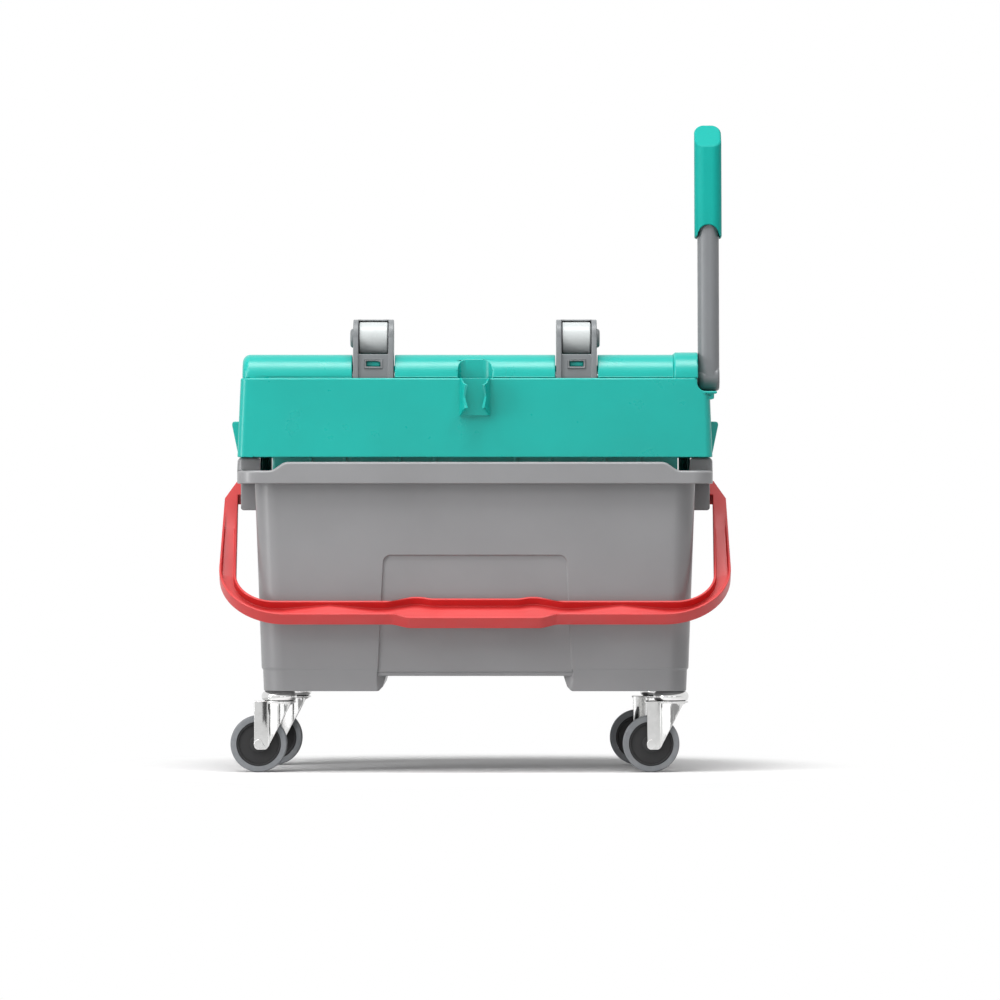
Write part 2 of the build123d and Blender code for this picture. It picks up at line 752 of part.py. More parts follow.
    with BuildPart() as tyre:
        half = TYRE_WIDTH / 2
        rod("y", (wheel_x, WHEEL_RADIUS), WHEEL_RADIUS, (y - half, y + half))
        fillet(tyre.edges().filter_by(GeomType.CIRCLE), TYRE_EDGE)
        rod("y", (wheel_x, WHEEL_RADIUS), HUB_RADIUS + TYRE_FIT, (y - FAR, y + FAR), mode=Mode.SUBTRACT)
    finish(tyre, f"{corner}_tyre")


for corner, place in CASTERS.items():
    make_caster(corner, *place)


# Bail

BAR_Z = BAIL_Z - BAIL_BAR_DROP
BAR_Y = -(TUB_DEPTH / 2 - (RIM_TOP - BAR_Z) * DRAFT_RATE + BAIL_STANDOFF)
BAIL_REACH = hypot(BAIL_BAR_DROP, BAR_Y)
BAIL_TILT = atan2(BAIL_BAR_DROP, -BAR_Y)
BAIL_PLANE = Plane(
    origin=(0, 0, BAIL_Z),
    x_dir=(1, 0, 0),
    z_dir=(0, -sin(BAIL_TILT), cos(BAIL_TILT)),
)
ARM_INNER = RIM_LENGTH / 2 + BAIL_GAP
ARM_OUTER = ARM_INNER + BAIL_ARM
BAR_INNER = -(BAIL_REACH - BAIL_WIDTH / 2)
BAR_OUTER = -(BAIL_REACH + BAIL_WIDTH / 2)


def bail_outline(inset):
    """Face of the bail in its own plane, with its edges drawn in by inset and square ends."""
    inner_half = ARM_INNER - BAIL_TOE_IN + inset
    outer_half = ARM_OUTER + BAIL_SPREAD - inset
    top = BAIL_EYE - inset
    belly_out = BAR_OUTER - BAIL_OUTER_BELLY + inset
    belly_in = BAR_INNER + BAIL_BELLY - inset
    stop_in = BAR_INNER + BAIL_STOP - inset
    stop_far = BAIL_STOP_X + BAIL_STOP_WIDTH / 2
    stop_near = BAIL_STOP_X - BAIL_STOP_WIDTH / 2
    with BuildSketch() as outline:
        with BuildLine():
            Polyline(
                (-ARM_OUTER + inset, top),
                (-outer_half, BAR_OUTER + inset),
                (outer_half, BAR_OUTER + inset),
                (ARM_OUTER - inset, top),
                close=True,
            )
        make_face()
        fillet(outline.vertices().group_by(Axis.Y)[0], BAIL_OUTER_CORNER - inset)
        with BuildSketch(mode=Mode.SUBTRACT) as opening:
            with BuildLine():
                Polyline(
                    (-ARM_INNER - inset, BAIL_EYE + PAST),
                    (-inner_half, BAR_INNER - inset),
                    (inner_half, BAR_INNER - inset),
                    (ARM_INNER + inset, BAIL_EYE + PAST),
                    close=True,
                )
            make_face()
            fillet(opening.vertices().group_by(Axis.Y)[0], BAIL_INNER_CORNER + inset)
        with BuildLine():
            Polyline(
                (-BAIL_GRIP_HALF - BAIL_RAMP, BAR_OUTER + BAIL_LAP),
                (-BAIL_GRIP_HALF, belly_out),
                (BAIL_GRIP_HALF, belly_out),
                (BAIL_GRIP_HALF + BAIL_RAMP, BAR_OUTER + BAIL_LAP),
                (stop_far + BAIL_STOP_LEAD, BAR_INNER - BAIL_LAP),
                (stop_far, stop_in),
                (stop_near, stop_in),
                (stop_near - BAIL_STOP_RUN, belly_in),
                (BAIL_STOP_RUN - stop_near, belly_in),
                (-stop_near, stop_in),
                (-stop_far, stop_in),
                (-stop_far - BAIL_STOP_LEAD, BAR_INNER - BAIL_LAP),
                close=True,
            )
        make_face()
        bends = [corner for corner in outline.vertices() if abs(corner.X) < stop_far + BAIL_STOP_LEAD]
        fillet(bends, BAIL_CURVE)
    return outline.sketch


half = BAIL_THICKNESS / 2
channel_floor = half - BAIL_CHANNEL

# Web of the arms in the bail's own plane, flush at the eyes and falling to the channel's floor
with BuildPart() as web_ramp:
    with BuildSketch(Plane.XY.offset(channel_floor - PAST)):
        add(bail_outline(0))
    extrude(amount=BAIL_CHANNEL + PAST)
    prism_x(
        [
            (FAR, channel_floor - PAST),
            (FAR, half),
            (-BAIL_RAMP_START, half),
            (-BAIL_RAMP_END, channel_floor),
            (-BAIL_RAMP_END, channel_floor - PAST),
        ],
        (-ARM_OUTER - FAR, ARM_OUTER + FAR),
        mode=Mode.INTERSECT,
    )

with BuildPart(BAIL_PLANE) as bail_handle:
    with BuildSketch(BAIL_PLANE.offset(-half)):
        add(bail_outline(0))
    extrude(amount=BAIL_THICKNESS)
    with BuildSketch(BAIL_PLANE.offset(channel_floor)):
        add(bail_outline(BAIL_WALL))
    extrude(amount=BAIL_CHANNEL + PAST, mode=Mode.SUBTRACT)
    add(web_ramp.part)
    bar_plane = Plane(BAIL_PLANE.origin, BAIL_PLANE.x_dir, -BAIL_PLANE.y_dir)
    for side in (-1, 1):
        peak_outer = side * (BAIL_PEAK_X + BAIL_PEAK_RUN)
        peak_inner = side * (BAIL_PEAK_X - BAIL_PEAK_RUN)
        with BuildSketch(bar_plane.offset(PAST - BAR_INNER)):
            with BuildLine():
                Polyline(
                    (peak_outer, channel_floor - PAST),
                    (peak_outer, channel_floor),
                    (side * BAIL_PEAK_X, channel_floor + BAIL_PEAK),
                    (peak_inner, channel_floor),
                    (peak_inner, channel_floor - PAST),
                    close=True,
                )
            make_face()
        extrude(amount=BAIL_WIDTH - 2 * PAST)
    for side in (-1, 1):
        rim_end = side * RIM_LENGTH / 2
        spacer = (rim_end + side * PART_GAP, side * (ARM_INNER + PAST))
        block(spacer, (-BAIL_EYE_LAP, BAIL_EYE), (-half, half))
        rod("x", (0, 0), BAIL_PIN, (rim_end - side * BAIL_PIN_REACH, side * ARM_INNER))
        prism_y(
            [
                (side * (ARM_INNER + PAST), BAIL_Z + BAIL_EYE + PAST),
                (side * (ARM_OUTER + PAST), BAIL_Z - BAIL_TIP_DROP),
                (side * (ARM_OUTER + BAIL_ARM), BAIL_Z + BAIL_EYE + PAST),
            ],
            (-3 * BAIL_EYE, 3 * BAIL_EYE),
            mode=Mode.SUBTRACT,
        )
finish(bail_handle, "bail_handle")


# Wringer shell

LEAN_BACK = radians(LEVER_LEAN)
POCKET_Z = SHAFT_Z - LEVER_DEPTH / 2 - POCKET_GAP
POCKET_BACK_Y = SHAFT_Y + LEVER_DEPTH / 2 + POCKET_GAP
BRACKET_FRONT = SHAFT_Y - RIDGE_RADIUS + BRACKET_SETBACK
WEB_Y = BRACKET_FRONT + BRACKET_SINK
TONGUE_Y = WEB_Y + BRACKET_WEB + PART_GAP
SCREW_Z = SEAT_Z + SCREW_RISE
SCREW_YS = (SHAFT_Y, MOUTH_BACK_Y + SCREW_SETBACK)
PEG_ZS = [DECK_TOP - drop for drop in PEG_DROPS]
WINDOW_LOW = SHAFT_Z + WINDOW_RISE
WINDOW_HIGH = WINDOW_LOW + WINDOW_HEIGHT
WINDOW_HALF = WINDOW_WIDTH / 2


def shell_outline(z, inset=0.0):
    """Outline of the wringer shell at height z, with its ends flaring out toward the bottom."""
    flare = SHELL_FLARE * (DECK_TOP - z) / SHELL_HEIGHT
    length = SHELL_LENGTH + 2 * (flare - inset)
    with BuildSketch(Plane.XY.offset(z)) as outline:
        with Locations((0, SHELL_MIDDLE_Y)):
            RectangleRounded(length, SHELL_DEPTH - 2 * inset, SHELL_CORNER - inset)
    return outline.sketch


def pocket_outline(y, grow, right, top):
    """Face of the lever's pocket at this Y, grown outward, with its inner corner rounded."""
    left = POCKET_X - grow
    low = POCKET_Z - grow
    with BuildSketch(Plane.XZ.offset(-y)) as outline:
        with Locations(((left + right) / 2, (low + top) / 2)):
            Rectangle(right - left, top - low)
        corner = outline.vertices().sort_by(Axis.Y)[:2].sort_by(Axis.X)[0]
        fillet(corner, POCKET_CORNER + grow)
    return outline.sketch


with BuildPart() as wringer_shell:
    loft([shell_outline(SEAT_Z), shell_outline(DECK_TOP)])
    fillet(wringer_shell.faces().sort_by(Axis.Z)[-1].edges(), DECK_EDGE)
    inside_low = shell_outline(SEAT_Z - PAST, SHELL_WALL)
    inside_top = shell_outline(DECK_TOP - SHELL_WALL, SHELL_WALL)
    loft([inside_low, inside_top], mode=Mode.SUBTRACT)
    seat_outer = SHELL_LENGTH / 2 + SEAT_OUTER
    seat_top = SEAT_Z + SEAT_THICKNESS
    locator_inner = TUB_LENGTH / 2 - WALL - LOCATOR_INSET
    for side in (-1, 1):
        cheek = (side * CHEEK_X, side * (CHEEK_X + CHEEK_WALL))
        cheek_y = (PANEL_INSIDE_Y - PAST, SHELL_BACK_Y - SHELL_WALL + PAST)
        block(cheek, cheek_y, (SEAT_Z + CHEEK_LIFT, DECK_TOP - PAST))
        ledge = (side * (seat_outer - SEAT_LEDGE), side * seat_outer)
        block(ledge, (-END_RIM_HALF, SHELL_BACK_Y - PAST), (SEAT_Z, seat_top))
        for locator_y in (LOCATOR_FRONT - END_RIM_HALF, SHELL_BACK_Y - LOCATOR_BACK):
            span = (locator_y, locator_y + LOCATOR_WIDTH)
            block((side * locator_inner, side * seat_outer), span, (SEAT_Z, seat_top))
            tab = (side * locator_inner, side * (locator_inner + SEAT_THICKNESS))
            block(tab, span, (SEAT_Z - LOCATOR_DEPTH, seat_top))
    mouth_y = (PANEL_INSIDE_Y, MOUTH_BACK_Y)
    mouth_z = (DECK_TOP - SHELL_WALL - PAST, DECK_TOP + PAST)
    block((-CHEEK_X, CHEEK_X), mouth_y, mouth_z, mode=Mode.SUBTRACT)

    # Pocket for the lever, with a shelf that reaches past the end wall and a stop behind the lever
    liner = pocket_outline(PANEL_Y, POCKET_WALL, LEVER_X + SHELF_REACH, DECK_TOP)
    extrude(liner, amount=POCKET_BACK_Y + POCKET_WALL - PANEL_Y, dir=(0, 1, 0))
    opening = pocket_outline(PANEL_Y - FAR, 0, LEVER_X + FAR, DECK_TOP + FAR)
    extrude(opening, amount=POCKET_BACK_Y - PANEL_Y + FAR, dir=(0, 1, 0), mode=Mode.SUBTRACT)
    stop_y = SHAFT_Y + LEVER_DEPTH / 2 / cos(LEAN_BACK) + STOP_HEIGHT * tan(LEAN_BACK) + STOP_GAP
    stop_x = (LEVER_X + PAST - STOP_WIDTH, LEVER_X + PAST)
    block(stop_x, (stop_y, stop_y + STOP_THICKNESS), (POCKET_Z, SHAFT_Z + STOP_HEIGHT))
    prism_y(
        [
            (LEVER_X - PAST, POCKET_Z - SHELF_RIB - PAST),
            (LEVER_X + SHELF_RIB_REACH, POCKET_Z - SHELF_RIB),
            (LEVER_X + SHELF_RIB_REACH, POCKET_Z - PAST),
            (LEVER_X - PAST, POCKET_Z - PAST),
        ],
        (PANEL_INSIDE_Y, POCKET_BACK_Y),
    )

    # Wedges on the ends
    wedge_top = seat_top + TAB_HEIGHT
    for side in (-1, 1):
        prism_y(
            [
                (side * (LEVER_X - PAST), seat_top),
                (side * (LEVER_X + TAB_FOOT), seat_top),
                (side * (LEVER_X + TAB_REACH), wedge_top - TAB_LIP),
                (side * (LEVER_X + TAB_REACH), wedge_top),
                (side * (LEVER_X - PAST), wedge_top),
            ],
            (SHELL_MIDDLE_Y - TAB_LENGTH / 2, SHELL_MIDDLE_Y + TAB_LENGTH / 2),
        )

    # Ribbed aprons that hang into the tub beside the cheeks and keep splashes in
    apron_inner = CHEEK_X + CHEEK_WALL - PAST
    apron_outer = TUB_LENGTH / 2 - WALL - APRON_DROP * DRAFT_RATE - APRON_GAP
    apron_z = (SEAT_Z - APRON_DROP, SEAT_Z + APRON_RISE)
    rib_step = (apron_outer - apron_inner - PAST) / APRON_RIBS
    for side in (-1, 1):
        apron_y = (APRON_Y, APRON_Y + APRON_WALL)
        block((side * apron_inner, side * apron_outer), apron_y, apron_z)
        for index in range(APRON_RIBS):
            rib_x = apron_outer - APRON_RIB - index * rib_step
            rib = (side * rib_x, side * (rib_x + APRON_RIB))
            block(rib, (APRON_Y - APRON_RIB_PROUD, APRON_Y + PAST), apron_z)

    # Tongues that the roller brackets snap on
    tongue_back = TONGUE_Y + TONGUE_WALL
    tongue_low = SHAFT_Z - TONGUE_DROP
    catch_z = (WINDOW_LOW + CATCH_GAP, WINDOW_HIGH - CATCH_GAP)
    catch_half = WINDOW_HALF - CATCH_GAP
    for side in (-1, 1):
        middle = side * BRACKET_X
        tongue = (middle - TONGUE_WIDTH / 2, middle + TONGUE_WIDTH / 2)
        block(tongue, (TONGUE_Y, tongue_back), (tongue_low, SHAFT_Z + TONGUE_RISE))
        block(tongue, (PANEL_INSIDE_Y - PAST, tongue_back), (tongue_low, tongue_low + SHELL_WALL))
        block((middle - catch_half, middle + catch_half), (TONGUE_Y - CATCH_PROUD, TONGUE_Y), catch_z)

    # Shaft bearings, screw holes and peg holes
    trough = (2 * SHELL_WALL - SHELL_LENGTH / 2, POCKET_X + PAST)
    rod("x", (SHAFT_Y, SHAFT_Z), BUSH_RADIUS + FIXED_FIT, trough, mode=Mode.SUBTRACT)
    for side in (-1, 1):
        hole = (side * (CHEEK_X - PAST), side * (CHEEK_X + CHEEK_WALL + PAST))
        for screw_y in SCREW_YS:
            rod("x", (screw_y, SCREW_Z), SCREW_RADIUS + FIXED_FIT, hole, mode=Mode.SUBTRACT)
    peg_y = (PANEL_Y - PAST, PANEL_INSIDE_Y + PAST)
    for peg_z in PEG_ZS:
        rod("y", (0, peg_z), CLIP_PEG + FIXED_FIT, peg_y, mode=Mode.SUBTRACT)
finish(wringer_shell, "wringer_shell")


# Cover over the shaft: the wringer's rounded ridge

COVER_LEFT = -(SHELL_LENGTH / 2 - COVER_END)
COVER_RIGHT = LEVER_X - LEVER_WIDTH / 2 - COVER_GAP
GROOVE_BACK_Y = SHAFT_Y - RIDGE_RADIUS + GROOVE_BITE
ABOVE_RIDGE = SHAFT_Z + 2 * RIDGE_RADIUS


def half_disc(radius, x):
    """Upper half of a disc about the shaft at this X."""
    with BuildSketch(Plane.YZ.offset(x)) as outline:
        with Locations((SHAFT_Y, SHAFT_Z)):
            Circle(radius)
            Rectangle(4 * radius, 2 * radius, align=(Align.CENTER, Align.MAX), mode=Mode.SUBTRACT)
    return outline.sketch


def half_round(radius, span, mode=Mode.ADD):
    """Upper half of a rod about the shaft, between two X values."""
    extrude(half_disc(radius, span[0]), amount=span[1] - span[0], dir=(1, 0, 0), mode=mode)


def cut_groove(grow, span):
    """Cut the upright groove for the mop stick, grown on every side, between two heights."""
    width = GROOVE_WIDTH + 2 * grow
    with BuildSketch(Plane.XY.offset(span[0])) as outline:
        with Locations((0, GROOVE_BACK_Y + grow - width / 2)):
            RectangleRounded(width, width, GROOVE_CORNER + grow)
    extrude(outline.sketch, amount=span[1] - span[0], mode=Mode.SUBTRACT)


with BuildPart() as cover_hollow_tool:
    hollow = RIDGE_RADIUS - RIDGE_WALL
    half_round(hollow, (COVER_LEFT + COVER_WALL, -CHEEK_X - CHEEK_WALL))
    half_round(hollow, (-CHEEK_X, CHEEK_X))
    half_round(hollow, (CHEEK_X + CHEEK_WALL, COVER_RIGHT - COVER_WALL))
    cut_groove(RIDGE_WALL, (SHAFT_Z - PAST, ABOVE_RIDGE))

with BuildPart() as shaft_cover:
    half_round(RIDGE_RADIUS, (COVER_LEFT, COVER_RIGHT))
    left_end = shaft_cover.faces().sort_by(Axis.X)[0]
    fillet(left_end.edges().filter_by(GeomType.CIRCLE), COVER_CORNER)
    half_round(RIDGE_RADIUS + COLLAR_STEP, (COVER_RIGHT - COLLAR_LENGTH, COVER_RIGHT))
    right_end = shaft_cover.faces().sort_by(Axis.X)[-1]
    fillet(right_end.edges().filter_by(GeomType.CIRCLE), COLLAR_EDGE)
    round_edges = shaft_cover.edges().filter_by(GeomType.CIRCLE)
    collar_edges = round_edges.filter_by(lambda edge: edge.radius > RIDGE_RADIUS + COLLAR_STEP / 2)
    chamfer(collar_edges.sort_by(Axis.X)[0], COLLAR_SLOPE)
    skirt_y = (SHAFT_Y - RIDGE_RADIUS, SHAFT_Y - RIDGE_RADIUS + RIDGE_WALL)
    block((PAST - CHEEK_X, CHEEK_X - PAST), skirt_y, (SHAFT_Z - SKIRT_DROP, SHAFT_Z + PAST))
    add(cover_hollow_tool.part, mode=Mode.SUBTRACT)
    cut_groove(0, (SHAFT_Z - SKIRT_DROP - PAST, ABOVE_RIDGE))
    bearing = (COVER_LEFT + COVER_WALL, COVER_RIGHT + PAST)
    rod("x", (SHAFT_Y, SHAFT_Z), BUSH_RADIUS + FIXED_FIT, bearing, mode=Mode.SUBTRACT)
    slot_half = BRACKET_WIDTH / 2 + BRACKET_GAP
    slot_y = (SHAFT_Y - RIDGE_RADIUS - PAST, SHAFT_Y + BRACKET_EAR + BRACKET_GAP)
    window_half = CAM_WIDTH / 2 + CAM_SIDE_GAP
    window_y = (SHAFT_Y + CAM_WINDOW, SHAFT_Y + FAR)
    cut_z = (SHAFT_Z - FAR, SHAFT_Z + FAR)
    for side in (-1, 1):
        slot = (side * BRACKET_X - slot_half, side * BRACKET_X + slot_half)
        block(slot, slot_y, cut_z, mode=Mode.SUBTRACT)
        window = (side * CAM_X - window_half, side * CAM_X + window_half)
        block(window, window_y, cut_z, mode=Mode.SUBTRACT)
finish(shaft_cover, "shaft_cover")


# Press: basket, fixed grid and hinged plate

HINGE_Z = BASKET_Z + HINGE_RISE
LEAN = radians(PLATE_LEAN)
HINGE_DROP = SHAFT_Z - HINGE_Z
HINGE_REACH = (CAM_REST + PLATE_OFFSET + HINGE_DROP * sin(LEAN)) / cos(LEAN)
HINGE_Y = SHAFT_Y + HINGE_REACH
GRID_Y = MOUTH_BACK_Y - GRID_SETBACK - GRID_THICKNESS
END_PLATE = CHEEK_X - BASKET_GAP
END_INSIDE = END_PLATE - BASKET_WALL
BOSS_END = END_PLATE + HINGE_BOSS_HEIGHT
GRID_HALF = END_INSIDE - BASKET_GAP
PLATE_HALF = END_INSIDE - PLATE_SIDE_GAP
BASKET_BACK_Y = MOUTH_BACK_Y + BASKET_BACK
STRIP_Y = STRIP_GAP + WALL - TUB_DEPTH / 2


def slot_rows(plane, half_length, span, rows, bridge):
    """Rows of slots on this plane, spread over a span of its Y with bridges between the rows."""
    count = int(2 * (half_length - SLOT_MARGIN) // SLOT_PITCH)
    length = (span[1] - span[0] - (rows + 1) * bridge) / rows
    with BuildSketch(plane) as slots:
        with Locations((0, (span[0] + span[1]) / 2)):
            with GridLocations(SLOT_PITCH, length + bridge, count, rows):
                SlotOverall(length, SLOT_WIDTH, rotation=90)
    return slots.sketch


with BuildPart() as basket:
    strip_z = (SEAT_Z - STRIP_LOW, SEAT_Z + STRIP_HIGH)
    basket_top = SEAT_Z + BASKET_TOP
    floor_low = BASKET_Z - BASKET_WALL
    toe_y = HINGE_Y - BASKET_TOE
    end_face = [
        (STRIP_Y, strip_z[0]),
        (STRIP_Y, strip_z[1]),
        (STRIP_Y + STRIP_SLOPE, basket_top),
        (BASKET_BACK_Y, basket_top),
        (BASKET_BACK_Y, floor_low),
        (toe_y, floor_low),
    ]
    for side in (-1, 1):
        prism_x(end_face, (side * END_INSIDE, side * END_PLATE))
    block((-END_PLATE, END_PLATE), (toe_y, BASKET_BACK_Y), (floor_low, BASKET_Z))
    block((-END_PLATE, END_PLATE), (STRIP_Y, STRIP_Y + STRIP_WALL), strip_z)
    for rib_x in RIBS_X:
        for side in (-1, 1):
            rib = (side * rib_x - RIB_WIDTH / 2, side * rib_x + RIB_WIDTH / 2)
            block(rib, (STRIP_Y - RIB_PROUD, STRIP_Y + PAST), strip_z)
    grid_front = GRID_Y - GRID_FIT
    grid_back = GRID_Y + GRID_THICKNESS + GRID_FIT
    rail_z = (BASKET_Z - PAST, basket_top)
    for side in (-1, 1):
        rail = (side * (END_INSIDE - RAIL_WIDTH), side * (END_INSIDE + PAST))
        block(rail, (grid_front - RAIL_WALL, grid_front), rail_z)
        block(rail, (grid_back, grid_back + RAIL_WALL), rail_z)
        boss = (side * (END_INSIDE - SCREW_BOSS_LENGTH), side * (END_INSIDE + PAST))
        for screw_y in SCREW_YS:
            rod("x", (screw_y, SCREW_Z), SCREW_RADIUS + SCREW_BOSS, boss)
        rod("x", (HINGE_Y, HINGE_Z), HINGE_PIN + HINGE_BOSS, (side * END_INSIDE, side * BOSS_END))
    for side in (-1, 1):
        screw_hole = (side * (END_INSIDE - SCREW_BOSS_LENGTH + PAST), side * (END_PLATE + PAST))
        for screw_y in SCREW_YS:
            rod("x", (screw_y, SCREW_Z), SCREW_RADIUS + FIXED_FIT, screw_hole, mode=Mode.SUBTRACT)
        pin_hole = (side * (END_INSIDE - PAST), side * (BOSS_END + PAST))
        rod("x", (HINGE_Y, HINGE_Z), HINGE_PIN + FIXED_FIT, pin_hole, mode=Mode.SUBTRACT)
    drain_y = (HINGE_Y + HINGE_BARREL, GRID_Y)
    drains = slot_rows(Plane.XY.offset(floor_low - PAST), END_PLATE, drain_y, 1, FLOOR_BRIDGE)
    extrude(drains, amount=BASKET_WALL + 2 * PAST, dir=(0, 0, 1), mode=Mode.SUBTRACT)
finish(basket, "basket")

with BuildPart() as back_grid:
    grid_z = (BASKET_Z, DECK_TOP - GRID_DROP)
    block((-GRID_HALF, GRID_HALF), (GRID_Y, GRID_Y + GRID_THICKNESS), grid_z)
    slots = slot_rows(Plane.XZ.offset(PAST - GRID_Y), GRID_HALF, grid_z, SLOT_ROWS, SLOT_BRIDGE)
    extrude(slots, amount=GRID_THICKNESS + 2 * PAST, dir=(0, 1, 0), mode=Mode.SUBTRACT)
finish(back_grid, "back_grid")

PLATE_PLANE = Plane(origin=(0, HINGE_Y, HINGE_Z), x_dir=(1, 0, 0), z_dir=(0, -sin(LEAN), cos(LEAN)))
PLATE_FRONT = -PLATE_OFFSET + PLATE_TRACK
PLATE_BACK = PLATE_FRONT + PLATE_THICKNESS

with BuildPart(PLATE_PLANE) as press_plate:
    plate_z = (0, PLATE_LENGTH)
    block((-PLATE_HALF, PLATE_HALF), (PLATE_FRONT, PLATE_BACK), plate_z)
    face_plane = Plane(PLATE_PLANE.origin, PLATE_PLANE.x_dir, -PLATE_PLANE.y_dir)
    slot_plane = face_plane.offset(-PLATE_BACK - PAST)
    slots = slot_rows(slot_plane, PLATE_HALF, plate_z, SLOT_ROWS, SLOT_BRIDGE)
    extrude(slots, amount=PLATE_THICKNESS + 2 * PAST, dir=face_plane.z_dir, mode=Mode.SUBTRACT)
    rod("x", (0, 0), HINGE_BARREL, (-PLATE_HALF, PLATE_HALF))
    for side in (-1, 1):
        track = (side * CAM_X - CAM_WIDTH, side * CAM_X + CAM_WIDTH)
        block(track, (-PLATE_OFFSET, PLATE_FRONT), plate_z)
    for side in (-1, 1):
        hole = (side * (PLATE_HALF - PLATE_PIN_DEPTH), side * (PLATE_HALF + PAST))
        rod("x", (0, 0), HINGE_PIN + TURN_FIT, hole, mode=Mode.SUBTRACT)
finish(press_plate, "press_plate")

with BuildPart() as hinge_pins:
    pin_inner = PLATE_HALF - PLATE_PIN_DEPTH + 2 * PAST
    for side in (-1, 1):
        rod("x", (HINGE_Y, HINGE_Z), HINGE_PIN, (side * pin_inner, side * BOSS_END))
        head = (side * BOSS_END, side * (BOSS_END + HINGE_PIN_HEAD_HEIGHT))
        rod("x", (HINGE_Y, HINGE_Z), HINGE_PIN + HINGE_PIN_HEAD, head)
finish(hinge_pins, "hinge_pins")

with BuildPart() as basket_screws:
    tip_x = END_INSIDE - SCREW_BOSS_LENGTH + 2 * PAST
    head_x = CHEEK_X + CHEEK_WALL
    for side in (-1, 1):
        head = (side * head_x, side * (head_x + SCREW_HEAD_HEIGHT))
        for screw_y in SCREW_YS:
            rod("x", (screw_y, SCREW_Z), SCREW_RADIUS, (side * tip_x, side * head_x))
            rod("x", (screw_y, SCREW_Z), SCREW_RADIUS + SCREW_HEAD_RIM, head)
finish(basket_screws, "basket_screws")


# Camshaft with its cams, bushes and retaining ring

SHAFT_LEFT = -(CHEEK_X + CHEEK_WALL + SHAFT_TAIL)
SHAFT_RIGHT = LEVER_X + LEVER_WIDTH / 2 - LEVER_CAP
RING_X = -(CHEEK_X + CHEEK_WALL + BUSH_STICK_OUT + RING_OFFSET)
STROKE_RATE = PLATE_STROKE / LEVER_SWING
PIN_HOLE_Z = (SHAFT_Z - CAM_HUB - FAR, SHAFT_Z + CAM_HUB + FAR)


def flank_point(turn):
    """Point of the cam's flank that meets the press plate when the lever is turned by this angle.

    The flank is the envelope of the plate's track, so the plate follows the lever at one ratio.
    """
    tilt = radians(turn) * STROKE_RATE - LEAN
    reach = HINGE_REACH * cos(tilt) + HINGE_DROP * sin(tilt) - PLATE_OFFSET - CAM_GAP
    slope = HINGE_DROP * cos(tilt) - HINGE_REACH * sin(tilt)
    slide = -slope * STROKE_RATE / (1 + STROKE_RATE)
    facing = -tilt - radians(turn)
    y = reach * cos(facing) - slide * sin(facing)
    z = reach * sin(facing) + slide * cos(facing)
    return SHAFT_Y + y, SHAFT_Z + z


def cam_pin_x(side):
    """X of a cam's spring pin, in the middle of its hub."""
    return side * (CAM_X + CAM_WIDTH / 2 + CAM_HUB_LENGTH / 2)


def make_cam(name, side):
    """One cam: a lobe with its flank and a hub that is pinned to the shaft."""
    lobe = (side * CAM_X - CAM_WIDTH / 2, side * CAM_X + CAM_WIDTH / 2)
    hub = (side * (CAM_X - CAM_WIDTH / 2), side * (CAM_X + CAM_WIDTH / 2 + CAM_HUB_LENGTH))
    flank = [flank_point(LEVER_SWING * step / (FLANK_POINTS - 1)) for step in range(FLANK_POINTS)]
    with BuildPart() as cam:
        with BuildSketch(Plane.YZ.offset(lobe[0])) as lobe_face:
            with BuildLine():
                Spline(*flank)
                Polyline(flank[-1], (SHAFT_Y, SHAFT_Z), flank[0])
            make_face()
        extrude(lobe_face.sketch, amount=CAM_WIDTH, dir=(1, 0, 0))
        rod("x", (SHAFT_Y, SHAFT_Z), CAM_HUB, hub)
        bore = (lobe[0] - FAR, lobe[1] + FAR)
        rod("x", (SHAFT_Y, SHAFT_Z), SHAFT_RADIUS + FIXED_FIT, bore, mode=Mode.SUBTRACT)
        rod("z", (cam_pin_x(side), SHAFT_Y), CAM_PIN + FIXED_FIT, PIN_HOLE_Z, mode=Mode.SUBTRACT)
    finish(cam, name)


with BuildPart() as camshaft:
    rod("x", (SHAFT_Y, SHAFT_Z), SHAFT_RADIUS, (SHAFT_LEFT, COVER_RIGHT))
    lean_plane = Plane(
        origin=(COVER_RIGHT - PAST, SHAFT_Y, SHAFT_Z),
        x_dir=(0, cos(LEAN_BACK), -sin(LEAN_BACK)),
        z_dir=(1, 0, 0),
    )
    with BuildSketch(lean_plane):
        Rectangle(SHAFT_SQUARE, SHAFT_SQUARE)
    extrude(amount=SHAFT_RIGHT - COVER_RIGHT + PAST)
    for side in (-1, 1):
        rod("z", (cam_pin_x(side), SHAFT_Y), CAM_PIN + FIXED_FIT, PIN_HOLE_Z, mode=Mode.SUBTRACT)
    screw_hole = (SHAFT_RIGHT - LEVER_SCREW_LENGTH - 2 * PAST, SHAFT_RIGHT + PAST)
    rod("x", (SHAFT_Y, SHAFT_Z), LEVER_SCREW + FIXED_FIT, screw_hole, mode=Mode.SUBTRACT)
    groove_half = RING_WIDTH / 2 + RING_PLAY
    with BuildSketch(Plane.YZ.offset(RING_X - groove_half)):
        with Locations((SHAFT_Y, SHAFT_Z)):
            Circle(SHAFT_RADIUS + PAST)
            Circle(SHAFT_RADIUS - RING_GROOVE, mode=Mode.SUBTRACT)
    extrude(amount=2 * groove_half, mode=Mode.SUBTRACT)
finish(camshaft, "camshaft")

make_cam("left_cam", -1)
make_cam("right_cam", 1)

with BuildPart() as cam_pins:
    pin_z = (SHAFT_Z - CAM_HUB + PAST, SHAFT_Z + CAM_HUB - PAST)
    for side in (-1, 1):
        rod("z", (cam_pin_x(side), SHAFT_Y), CAM_PIN, pin_z)
finish(cam_pins, "cam_pins")

